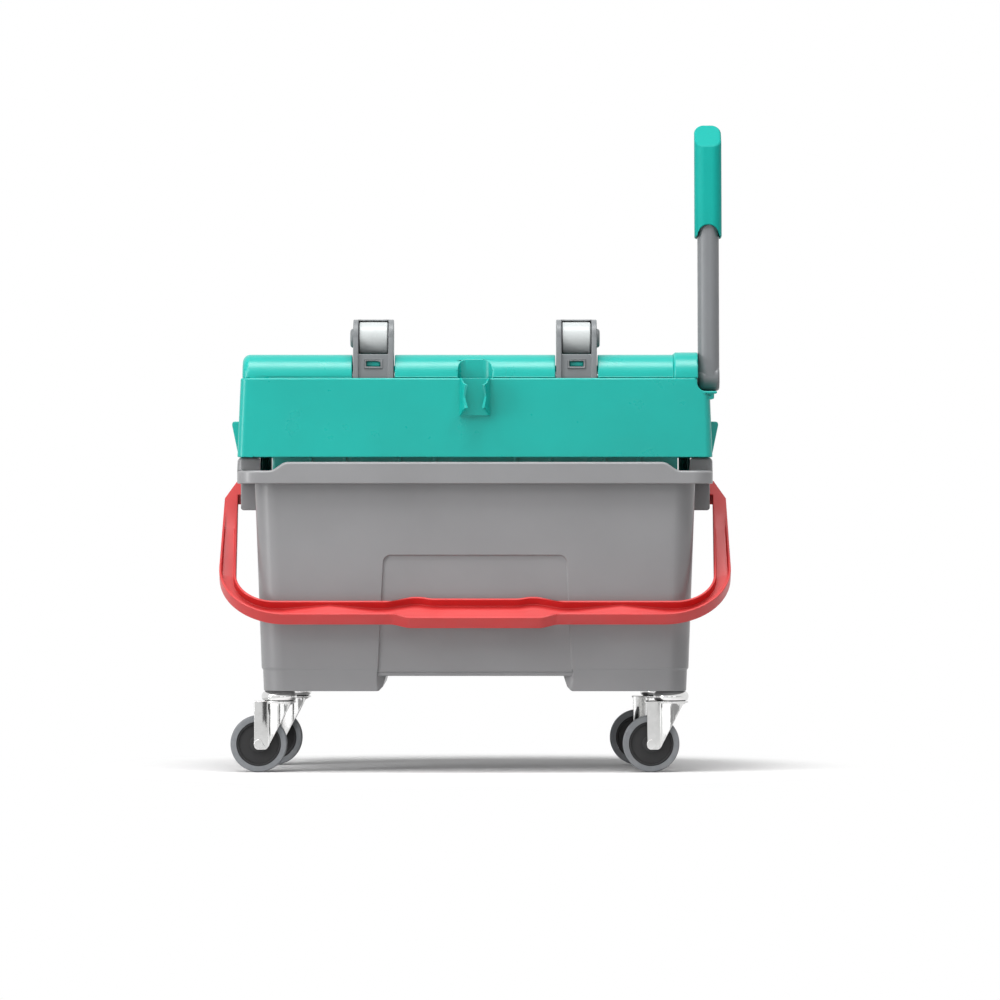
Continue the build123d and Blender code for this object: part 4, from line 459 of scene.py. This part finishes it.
# %% Bright zinc and turned steel
SPANGLE_SIZE = 0.0035
ZINC_COLOUR = (0.73, 0.73, 0.725)
ZINC_SHADES = (0.97, 1.02)
ZINC_ROUGHNESS = 0.07
ZINC_POLISH = (0.05, 0.10)
ZINC_DEPTH = 0.000005
STEEL_COLOUR = (0.46, 0.47, 0.48)
STEEL_SHADES = (0.9, 1.1)
STEEL_ROUGHNESS = 0.30
STEEL_POLISH = (0.24, 0.38)
LATHE_SIZE = 0.004
LATHE_STRETCH = (0.08, 1.0, 1.0)
LATHE_DEPTH = 0.00002


def crystals(material, size):
    """Socket with one random grey for each crystal of this size."""
    tree = material.node_tree
    place = tree.nodes.new("ShaderNodeTexCoord")
    cells = tree.nodes.new("ShaderNodeTexVoronoi")
    cells.inputs["Scale"].default_value = 1.0 / size
    tree.links.new(place.outputs["Object"], cells.inputs["Vector"])
    split = tree.nodes.new("ShaderNodeSeparateColor")
    tree.links.new(cells.outputs["Color"], split.inputs[0])
    return split.outputs[0]


zinc = start_finish("zinc", ZINC_COLOUR, ZINC_ROUGHNESS, metal=1.0)
spangle = crystals(zinc, SPANGLE_SIZE)
connect(zinc, drift(zinc, spangle, ZINC_COLOUR, ZINC_SHADES), "Base Color")
connect(zinc, spread(zinc, clouds(zinc, POLISH_SIZE, detail=5.0), *ZINC_POLISH), "Roughness")
relief(zinc, (clouds(zinc, PEEL_SIZE, detail=2.0), ZINC_DEPTH))

steel = start_finish("shaft_steel", STEEL_COLOUR, STEEL_ROUGHNESS, metal=1.0)
turning = clouds(steel, LATHE_SIZE, detail=4.0, stretch=LATHE_STRETCH)
turned = spread(steel, turning, 0.0, 1.0)
connect(steel, drift(steel, turned, STEEL_COLOUR, STEEL_SHADES), "Base Color")
connect(steel, spread(steel, turning, *STEEL_POLISH), "Roughness")
relief(steel, (turning, LATHE_DEPTH))
print("metals ready")

# %% [markdown]
# The tyres are grey moulded rubber: matt, slightly mottled, with a coarser grain than plastic and a
# little dust where they have rolled.

# %% Rubber
RUBBER_COLOUR = (0.250, 0.262, 0.277)
RUBBER_SHADES = (0.93, 1.06)
RUBBER_ROUGHNESS = 0.62
RUBBER_POLISH = (0.56, 0.70)
RUBBER_DEPTH = 0.0001
MOTTLE_SIZE = 0.006
DUST_COLOUR = (0.42, 0.42, 0.41)
DUST_SHARE = 0.30
DUST_START = 0.52
DUST_END = 0.75

rubber = start_finish("tyre_grey", RUBBER_COLOUR, RUBBER_ROUGHNESS, gloss=0.25)
mottle = clouds(rubber, MOTTLE_SIZE, detail=6.0)
uneven = spread(rubber, mottle, 0.0, 1.0)
mottled = drift(rubber, uneven, RUBBER_COLOUR, RUBBER_SHADES)
dust = clouds(rubber, POLISH_SIZE, detail=6.0)
dusty = spread(rubber, dust, 0.0, DUST_SHARE, start=DUST_START, end=DUST_END)
connect(rubber, layer(rubber, dusty, mottled, DUST_COLOUR), "Base Color")
connect(rubber, spread(rubber, mottle, *RUBBER_POLISH), "Roughness")
relief(rubber, (clouds(rubber, GRAIN_SIZE, detail=3.0), RUBBER_DEPTH))
print("finishes:", len(finishes))

# %% [markdown]
# A mould never leaves a knife edge: every corner of a plastic part has a small radius, and those
# radii catch the light as the thin bright lines that make a moulded part look real. The
# construction has plain corners, so each piece is copied, its triangles are merged into whole
# faces, its sharp edges get a bevel weight, and one Bevel modifier rounds them. A face that runs
# round a hole or a handle is first cut into plain pieces with Bisect, because such a face can fill
# itself in once its edges have moved. Two more helpers pick faces or points by a test, to split or
# to move them.

# %% Rounding helpers
WELD = 2e-6
FLAT = math.radians(1)
SHARP = math.radians(35)
BLUNT = math.radians(112)
PINCHED = math.radians(20)
CREASE = math.radians(36)
NEAR = 0.0007
JOIN = 5e-5
FINE_STEPS = 2
PLAIN_STEPS = 3
WIDE_STEPS = 5


def close(value, target):
    """True if two measures agree."""
    return abs(value - target) < NEAR


def merged_copy(node):
    """Copy of a construction node with its triangles joined into whole faces."""
    pick(frame["nodes"][node])
    bpy.ops.object.duplicate()
    piece = bpy.context.object
    piece.name = f"{node}_finished"
    del piece["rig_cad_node"]
    piece.data.materials.clear()
    bpy.ops.object.mode_set(mode="EDIT")
    bpy.ops.mesh.select_all(action="SELECT")
    bpy.ops.mesh.remove_doubles(threshold=WELD)
    bpy.ops.mesh.dissolve_limited(angle_limit=FLAT)
    bpy.ops.object.mode_set(mode="OBJECT")
    return piece


def square_planes(x=(), y=(), z=()):
    """Planes square to the axes at these places, each as a point and a normal."""
    planes = []
    for axis, places in enumerate((x, y, z)):
        normal = Vector([float(index == axis) for index in range(3)])
        planes.extend((normal * place, normal) for place in places)
    return planes


def mirrored(*places):
    """These places and their mirror images, from left to right."""
    return sorted({side * place for place in places for side in (1, -1)})


def cut_faces(piece, planes):
    """Cut the faces of a piece where planes pass through them."""
    pick(piece)
    bpy.ops.object.mode_set(mode="EDIT")
    for point, normal in planes:
        bpy.ops.mesh.select_all(action="SELECT")
        bpy.ops.mesh.bisect(plane_co=point, plane_no=normal)
    bpy.ops.object.mode_set(mode="OBJECT")


def select_parts(piece, kind, test):
    """In edit mode, select the points or faces of a piece that pass a test, and return how many."""
    bpy.ops.mesh.select_mode(type=kind)
    bpy.ops.mesh.select_all(action="DESELECT")
    shape = bmesh.from_edit_mesh(piece.data)
    chosen = [part for part in (shape.faces if kind == "FACE" else shape.verts) if test(part)]
    for part in chosen:
        part.select_set(True)
    bmesh.update_edit_mesh(piece.data)
    return len(chosen)


def split_level(piece, height):
    """Split the level faces at a height into short triangles, and return how many faces there were."""
    pick(piece)
    bpy.ops.object.mode_set(mode="EDIT")
    count = select_parts(piece, "FACE", lambda face: all(close(vert.co.z, height) for vert in face.verts))
    bpy.ops.mesh.quads_convert_to_tris(ngon_method="BEAUTY")
    bpy.ops.object.mode_set(mode="OBJECT")
    return count


def move_points(piece, test, shift):
    """Move the points of a piece that pass a test, join those that meet others, and return how many."""
    pick(piece)
    bpy.ops.object.mode_set(mode="EDIT")
    count = select_parts(piece, "VERT", test)
    bpy.ops.transform.translate(value=shift)
    bpy.ops.mesh.remove_doubles(threshold=JOIN, use_unselected=True)
    bpy.ops.object.mode_set(mode="OBJECT")
    return count


def both_ends(edge, test):
    """True if the places of both ends of an edge pass a test."""
    return all(test(vert.co) for vert in edge.verts)


def is_sharp(edge):
    """True for an edge that a mould would round and that ends in no pinched corner."""
    if len(edge.link_faces) != 2 or not SHARP < edge.calc_face_angle() < BLUNT:
        return False
    corners = [loop for vert in edge.verts for loop in vert.link_loops if loop.face in edge.link_faces]
    return min(loop.calc_angle() for loop in corners) > PINCHED


def round_edges(piece, width, segments, weight_of):
    """Bevel the edges of a piece, each as wide as its weight says, and return how many."""
    shape = bmesh.new()
    shape.from_mesh(piece.data)
    weights = shape.edges.layers.float.get("bevel_weight_edge")
    if weights is None:
        weights = shape.edges.layers.float.new("bevel_weight_edge")
    for edge in shape.edges:
        edge[weights] = weight_of(edge)
    count = sum(edge[weights] > 0 for edge in shape.edges)
    shape.to_mesh(piece.data)
    shape.free()
    pick(piece)
    bevel = piece.modifiers.new("rounding", "BEVEL")
    bevel.width = width
    bevel.segments = segments
    bevel.limit_method = "WEIGHT"
    bevel.use_clamp_overlap = False
    bpy.ops.object.modifier_apply(modifier="rounding")
    return count


def sharp_weight(edge):
    """Full weight for a sharp edge, none for the others."""
    return 1.0 if is_sharp(edge) else 0.0


def smooth(piece):
    """Smooth shading that keeps the flat faces flat."""
    pick(piece)
    bpy.ops.object.shade_smooth_by_angle(angle=CREASE)
    weighted = piece.modifiers.new("flat_faces", "WEIGHTED_NORMAL")
    weighted.keep_sharp = True
    bpy.ops.object.modifier_apply(modifier="flat_faces")


def dress(piece, slot, node, finish=None):
    """Give a piece its slot's finish, or another one, and let it stand for a node on that node's body."""
    piece.data.materials.append(finishes[finish or slot])
    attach(piece, frame["nodes"][node]["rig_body"])
    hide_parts(node)


def rounded(node, slot, width, segments=FINE_STEPS, planes=(), weight_of=sharp_weight, finish=None):
    """Stand-in for a node with its sharp edges rounded, its faces first cut along planes."""
    piece = merged_copy(node)
    cut_faces(piece, planes)
    count = round_edges(piece, width, segments, weight_of)
    smooth(piece)
    dress(piece, slot, node, finish)
    print(node, "edges rounded:", count, "faces:", len(piece.data.polygons))


# %% [markdown]
# The bucket is one large moulding. Its foot is drawn in by a soft slope, so the inner line of the
# construction's square ledge is moved down. Its rim bends down to the corners in a soft S, and the
# raised ends that carry the wringer are blunt, so those edges get wide bevels. Then the top of the
# rim gets a radius of a few millimetres, and all the rest a smaller one. The edges beside the bail's
# pins stay plain, so that the bail turns freely there.

# %% Bucket
FOOT_TOP = 0.110
FOOT_SLOPE = 0.0018
PIN_HEIGHT = 0.293
PIN_ZONE = 0.008
RIM_MIDDLE = 0.312
STEP_PLACES = ((0.2125, 0.318), (0.200, 0.327))
STEP_RADIUS = 0.004
SEAT_FRONT = 0.112
SEAT_END = 0.250
SEAT_TOP = 0.332
SEAT_RADIUS = 0.0075
SEAT_TOP_SHARE = 0.55
RIM_RADIUS = 0.0029
PLAIN_SHARE = 0.35


def is_step(place):
    """True on a line where the rim's top bends down to a corner."""
    return any(close(abs(place.x), step) and close(place.z, high) for step, high in STEP_PLACES)


def is_seat_corner(place):
    """True on the upright front and back edges of the raised ends."""
    return close(abs(place.x), SEAT_END) and close(abs(place.y), SEAT_FRONT)


def is_seat_top(place):
    """True on the top outer edges of the raised ends."""
    return close(abs(place.x), SEAT_END) and close(place.z, SEAT_TOP)


def step_weight(edge):
    """Full weight for the rim's bends, which run from front to back."""
    first, second = (vert.co.x for vert in edge.verts)
    return 1.0 if close(first, second) and both_ends(edge, is_step) else 0.0


def seat_weight(edge):
    """Full weight for the upright edges of the raised ends and a smaller one for the top."""
    if both_ends(edge, is_seat_top):
        return SEAT_TOP_SHARE
    return 1.0 if both_ends(edge, is_seat_corner) else 0.0


def beside_pin(place):
    """True beside the line that the bail turns about."""
    return math.hypot(place.y, place.z - PIN_HEIGHT) < PIN_ZONE


def bucket_weight(edge):
    """Full weight on top of the rim, less for other sharp edges, none beside the bail's pins."""
    if not is_sharp(edge) or both_ends(edge, beside_pin):
        return 0.0
    on_top = both_ends(edge, lambda place: place.z > RIM_MIDDLE)
    return 1.0 if on_top and edge.is_convex else PLAIN_SHARE


def on_foot_line(vert):
    """True on the line where the foot's walls meet the ledge: a face goes down, no edge goes up."""
    lowest = min(corner.co.z for face in vert.link_faces for corner in face.verts)
    highest = max(edge.other_vert(vert).co.z for edge in vert.link_edges)
    return close(vert.co.z, FOOT_TOP) and lowest < FOOT_TOP - FOOT_SLOPE and highest < FOOT_TOP + NEAR


bucket = merged_copy("bucket_body")
print("ledge faces:", split_level(bucket, FOOT_TOP))
print("foot line:", move_points(bucket, on_foot_line, (0.0, 0.0, -FOOT_SLOPE)))
print("rim bends:", round_edges(bucket, STEP_RADIUS, WIDE_STEPS, step_weight))
print("seat corners:", round_edges(bucket, SEAT_RADIUS, WIDE_STEPS, seat_weight))
print("other edges:", round_edges(bucket, RIM_RADIUS, PLAIN_STEPS, bucket_weight))
smooth(bucket)
dress(bucket, "bucket_grey", "bucket_body")
print("bucket faces:", len(bucket.data.polygons))

# %% [markdown]
# The bail is a channel with a thin lip on each side. The lips' edges are what shows most: two pale
# lines that run round the whole handle. The faces that run all the way round it are cut square to
# its length and across its tilt. The slanted tips above the eyes are left plain, because they lie
# hidden under the bucket's rim. The slant leaves a sliver along the very top of each tip, which is
# pushed back into it.

# %% Bail
BAIL_PIVOT = Vector((0.0, 0.0, PIN_HEIGHT))
BAIL_TILT = math.radians(42.35)
BAIL_TIP = 0.2985
SLIVER_START = 0.266
SLIVER_LOW = 0.306
SLIVER_LENGTH = 0.012
BAIL_RADIUS = 0.0008
BAIL_CUTS_X = mirrored(0.0, 0.05, 0.068, 0.09, 0.12, 0.2)
BAIL_CUTS_DOWN = (0.02, 0.06, 0.126)


def bail_weight(edge):
    """Full weight for a sharp edge below the tips and away from the pins."""
    below = both_ends(edge, lambda place: place.z < BAIL_TIP)
    return 1.0 if below and is_sharp(edge) and not both_ends(edge, beside_pin) else 0.0


bail_down = Vector((0.0, -math.cos(BAIL_TILT), -math.sin(BAIL_TILT)))
bail_planes = square_planes(x=BAIL_CUTS_X)
bail_planes += [(BAIL_PIVOT + bail_down * distance, bail_down) for distance in BAIL_CUTS_DOWN]
bail = merged_copy("bail_handle")
for side in (-1, 1):
    moved = move_points(
        bail,
        lambda vert: side * vert.co.x > SLIVER_START and vert.co.z > SLIVER_LOW,
        (-side * SLIVER_LENGTH, 0.0, 0.0),
    )
    print("sliver points:", moved)
cut_faces(bail, bail_planes)
print("bail edges rounded:", round_edges(bail, BAIL_RADIUS, PLAIN_STEPS, bail_weight))
smooth(bail)
dress(bail, "bail_red", "bail_handle")

# %% [markdown]
# The wringer's housing, its shaft cover, the slotted basket and press plate and the stick clip are
# all of one teal plastic. The large mouldings have wider radii than the thin slotted ones, where a
# wide bevel would eat the bars. The tabs at the housing's ends are blunt. The lever's grip is a
# slightly darker teal with a softer, duller surface.

# %% Wringer mouldings
FINE_RADIUS = 0.0007
GRIP_RADIUS = 0.001
TEAL_RADII = {
    "shaft_cover": 0.0008,
    "basket": 0.0005,
    "back_grid": 0.0005,
    "press_plate": 0.0006,
    "stick_clip": 0.0004,
}

COVER_CUTS = square_planes(x=mirrored(0.0205))
SHELL_CUTS = square_planes(
    x=(*mirrored(0.0, 0.0155, 0.107, 0.151, 0.213, 0.232), 0.242),
    y=(-0.1204, -0.1004, -0.0834, -0.04),
    z=(0.3655, 0.4148),
)
TAB_END = 0.257
TAB_TOP = 0.370
TAB_RADIUS = 0.0032
SHELL_SHARE = 0.28


def is_tab_top(place):
    """True on the outer top edges of the tabs at the shell's ends."""
    return close(abs(place.x), TAB_END) and close(place.z, TAB_TOP)


def shell_weight(edge):
    """Full weight for the tabs' top edges and a smaller one for the other sharp edges."""
    if both_ends(edge, is_tab_top):
        return 1.0
    return SHELL_SHARE if is_sharp(edge) else 0.0


rounded("wringer_shell", "wringer_teal", TAB_RADIUS, PLAIN_STEPS, SHELL_CUTS, shell_weight)
for node, radius in TEAL_RADII.items():
    cuts = COVER_CUTS if node == "shaft_cover" else ()
    rounded(node, "wringer_teal", radius, PLAIN_STEPS if radius > FINE_RADIUS else FINE_STEPS, cuts)
rounded("lever_grip", "wringer_teal", GRIP_RADIUS, PLAIN_STEPS, finish="soft_grip")

# %% [markdown]
# Two grey brackets hold the white guide rollers on headed pins, and the grey lever stands on the
# shaft's square end. The shaft, the cams and the bushes sit inside and are seen through the mouth.

# %% Brackets, rollers, lever and shaft
SMALL_PIECES = {
    "left_bracket": ("bracket_grey", 0.0009),
    "right_bracket": ("bracket_grey", 0.0009),
    "left_roller_pin": ("bracket_grey", 0.0005),
    "right_roller_pin": ("bracket_grey", 0.0005),
    "left_roller": ("roller_white", 0.0004),
    "right_roller": ("roller_white", 0.0004),
    "lever_arm": ("lever_grey", 0.0006),
    "camshaft": ("shaft_steel", 0.0004),
    "left_cam": ("bush_plastic", 0.0004),
    "right_cam": ("bush_plastic", 0.0004),
    "left_bush": ("bush_plastic", 0.0004),
    "right_bush": ("bush_plastic", 0.0004),
    "cam_pins": ("shaft_steel", 0.0003),
    "hinge_pins": ("shaft_steel", 0.0003),
    "shaft_clip": ("shaft_steel", 0.0002),
    "basket_screws": ("zinc", 0.0003),
}

SHAFT_Y = -0.1004
SHAFT_Z = 0.415
ROLLER_Z = 0.4574
BRACKET_HALF = 0.0075
SMALL_CUTS = {"camshaft": square_planes(y=(SHAFT_Y,), z=(SHAFT_Z,))}
for node in ("left_bracket", "right_bracket"):
    bracket_low, bracket_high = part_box(node)
    middle = (bracket_low.x + bracket_high.x) / 2
    across = (middle - BRACKET_HALF, middle, middle + BRACKET_HALF)
    SMALL_CUTS[node] = square_planes(x=across, y=(SHAFT_Y,), z=(SHAFT_Z, ROLLER_Z))

for node, (slot, radius) in SMALL_PIECES.items():
    rounded(node, slot, radius, planes=SMALL_CUTS.get(node, ()))

# %% [markdown]
# The lever is held by one pan-head screw with a cross recess. The head is the construction's own
# cylinder, domed by a wide bevel on its outer edge, and a cross of two bars is cut out of it.

# %% Lever screw
HEAD_DOME = 0.0016
DOME_STEPS = 4
CROSS_LENGTH = 0.0075
CROSS_WIDTH = 0.0017
CROSS_DEPTH = 0.0022

screw_low, screw_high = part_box("lever_screw")
screw_axis = (screw_low + screw_high) / 2


def head_weight(edge):
    """Full weight for the rim of the head's outer face."""
    rim = both_ends(edge, lambda place: place.x > screw_high.x - NEAR)
    return 1.0 if rim and is_sharp(edge) else 0.0


screw = merged_copy("lever_screw")
print("head rim edges:", round_edges(screw, HEAD_DOME, DOME_STEPS, head_weight))
for size in ((CROSS_LENGTH, CROSS_WIDTH), (CROSS_WIDTH, CROSS_LENGTH)):
    bpy.ops.mesh.primitive_cube_add(size=1.0, location=(screw_high.x, screw_axis.y, screw_axis.z))
    bar = bpy.context.object
    bar.scale = (2 * CROSS_DEPTH, *size)
    bpy.ops.object.transform_apply(location=True, rotation=True, scale=True)
    pick(screw)
    recess = screw.modifiers.new("recess", "BOOLEAN")
    recess.object = bar
    recess.solver = "EXACT"
    bpy.ops.object.modifier_apply(modifier="recess")
    bpy.data.objects.remove(bar)
smooth(screw)
dress(screw, "zinc", "lever_screw")
print("screw faces:", len(screw.data.polygons))

# %% [markdown]
# A caster is a stamped fork that turns on a race of balls under a pressed cup. Its sheet-metal
# edges are rounded by the press, so they get small radii, as the moulded hub does. The balls are
# shown as the construction has them.

# %% Casters
CORNERS = ("front_left", "front_right", "rear_left", "rear_right")
CASTER_PIECES = {
    "cup": ("zinc", 0.0003),
    "fork": ("zinc", 0.0006),
    "axle": ("zinc", 0.0005),
    "stem": ("zinc", 0.0003),
    "hub": ("hub_black", 0.0006),
}

for corner in CORNERS:
    stem_low, stem_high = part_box(f"{corner}_stem")
    axle_low, axle_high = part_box(f"{corner}_axle")
    stem = (stem_low + stem_high) / 2
    axle = (axle_low + axle_high) / 2
    fork_planes = square_planes(x=(stem.x, axle.x), y=(stem.y,))
    for word, (slot, radius) in CASTER_PIECES.items():
        rounded(f"{corner}_{word}", slot, radius, planes=fork_planes if word == "fork" else ())
    balls = frame["nodes"][f"{corner}_balls"]
    balls.data.materials.clear()
    balls.data.materials.append(finishes["shaft_steel"])

# %% [markdown]
# A moulded tyre has a small shoulder and a fine seam round its tread where the two halves of the
# mould met. It starts as a cylinder: the end faces are inset and opened, the bore is bridged, the
# seam is extruded from an inset band and the shoulders are bevelled. One tyre is modelled and then
# copied to the other three wheels.

# %% Tyres
TYRE_SIDES = 96
SEAM_HEIGHT = 0.00025
SEAM_HALF = 0.0005
SHOULDER = 0.0013
SHOULDER_STEPS = 6
BORE_GAP = 0.0001
HALFWAY = 0.5

tyre_low, tyre_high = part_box("front_left_tyre")
tyre_middle = (tyre_low + tyre_high) / 2
tyre_width = tyre_high.y - tyre_low.y
tread_radius = (tyre_high.z - tyre_low.z) / 2 - SEAM_HEIGHT
hub_low, hub_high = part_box("front_left_hub")
bore_radius = (hub_high.z - hub_low.z) / 2 + BORE_GAP


def from_axle(place):
    """Distance of a place from the axle's line."""
    return math.hypot(place.x - tyre_middle.x, place.z - tyre_middle.z)


def is_side(face):
    """True for a face that looks along the axle."""
    return abs(face.normal.y) > HALFWAY


def is_tread(face):
    """True for a face that rolls on the floor."""
    return not is_side(face) and from_axle(face.calc_center_median()) > bore_radius + NEAR


def on_shoulder(place):
    """True on the tyre's two outer rims."""
    outside = close(abs(place.y - tyre_middle.y), tyre_width / 2)
    return outside and from_axle(place) > tread_radius - NEAR


def shoulder_weight(edge):
    """Full weight for the tyre's two outer rims."""
    return 1.0 if both_ends(edge, on_shoulder) else 0.0


bpy.ops.mesh.primitive_cylinder_add(
    vertices=TYRE_SIDES,
    radius=tread_radius,
    depth=tyre_width,
    location=tyre_middle,
    rotation=(math.radians(90), 0.0, 0.0),
)
tyre = bpy.context.object
tyre.name = "front_left_tyre_finished"
bpy.ops.object.transform_apply(location=True, rotation=True, scale=True)
bpy.ops.object.mode_set(mode="EDIT")
print("side faces:", select_parts(tyre, "FACE", is_side))
bpy.ops.mesh.inset(thickness=tread_radius - bore_radius, use_individual=True)
bpy.ops.mesh.delete(type="FACE")
bpy.ops.mesh.select_mode(type="EDGE")
bpy.ops.mesh.select_all(action="DESELECT")
bpy.ops.mesh.select_non_manifold(extend=False)
bpy.ops.mesh.bridge_edge_loops()
print("tread faces:", select_parts(tyre, "FACE", is_tread))
bpy.ops.mesh.inset(thickness=tyre_width / 2 - SEAM_HALF, use_boundary=True)
bpy.ops.mesh.extrude_region_shrink_fatten(TRANSFORM_OT_shrink_fatten={"value": SEAM_HEIGHT})
bpy.ops.mesh.select_all(action="SELECT")
bpy.ops.mesh.normals_make_consistent(inside=False)
bpy.ops.object.mode_set(mode="OBJECT")
print("shoulder edges:", round_edges(tyre, SHOULDER, SHOULDER_STEPS, shoulder_weight))
smooth(tyre)
tyres = {CORNERS[0]: tyre}
for corner in CORNERS[1:]:
    low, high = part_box(f"{corner}_tyre")
    pick(tyre)
    bpy.ops.object.duplicate()
    copy = bpy.context.object
    copy.name = f"{corner}_tyre_finished"
    copy.location = (low + high) / 2 - tyre_middle
    bpy.ops.object.transform_apply(location=True, rotation=False, scale=False)
    tyres[corner] = copy
for corner, copy in tyres.items():
    dress(copy, "tyre_grey", f"{corner}_tyre")
print("tyre faces:", len(tyre.data.polygons))
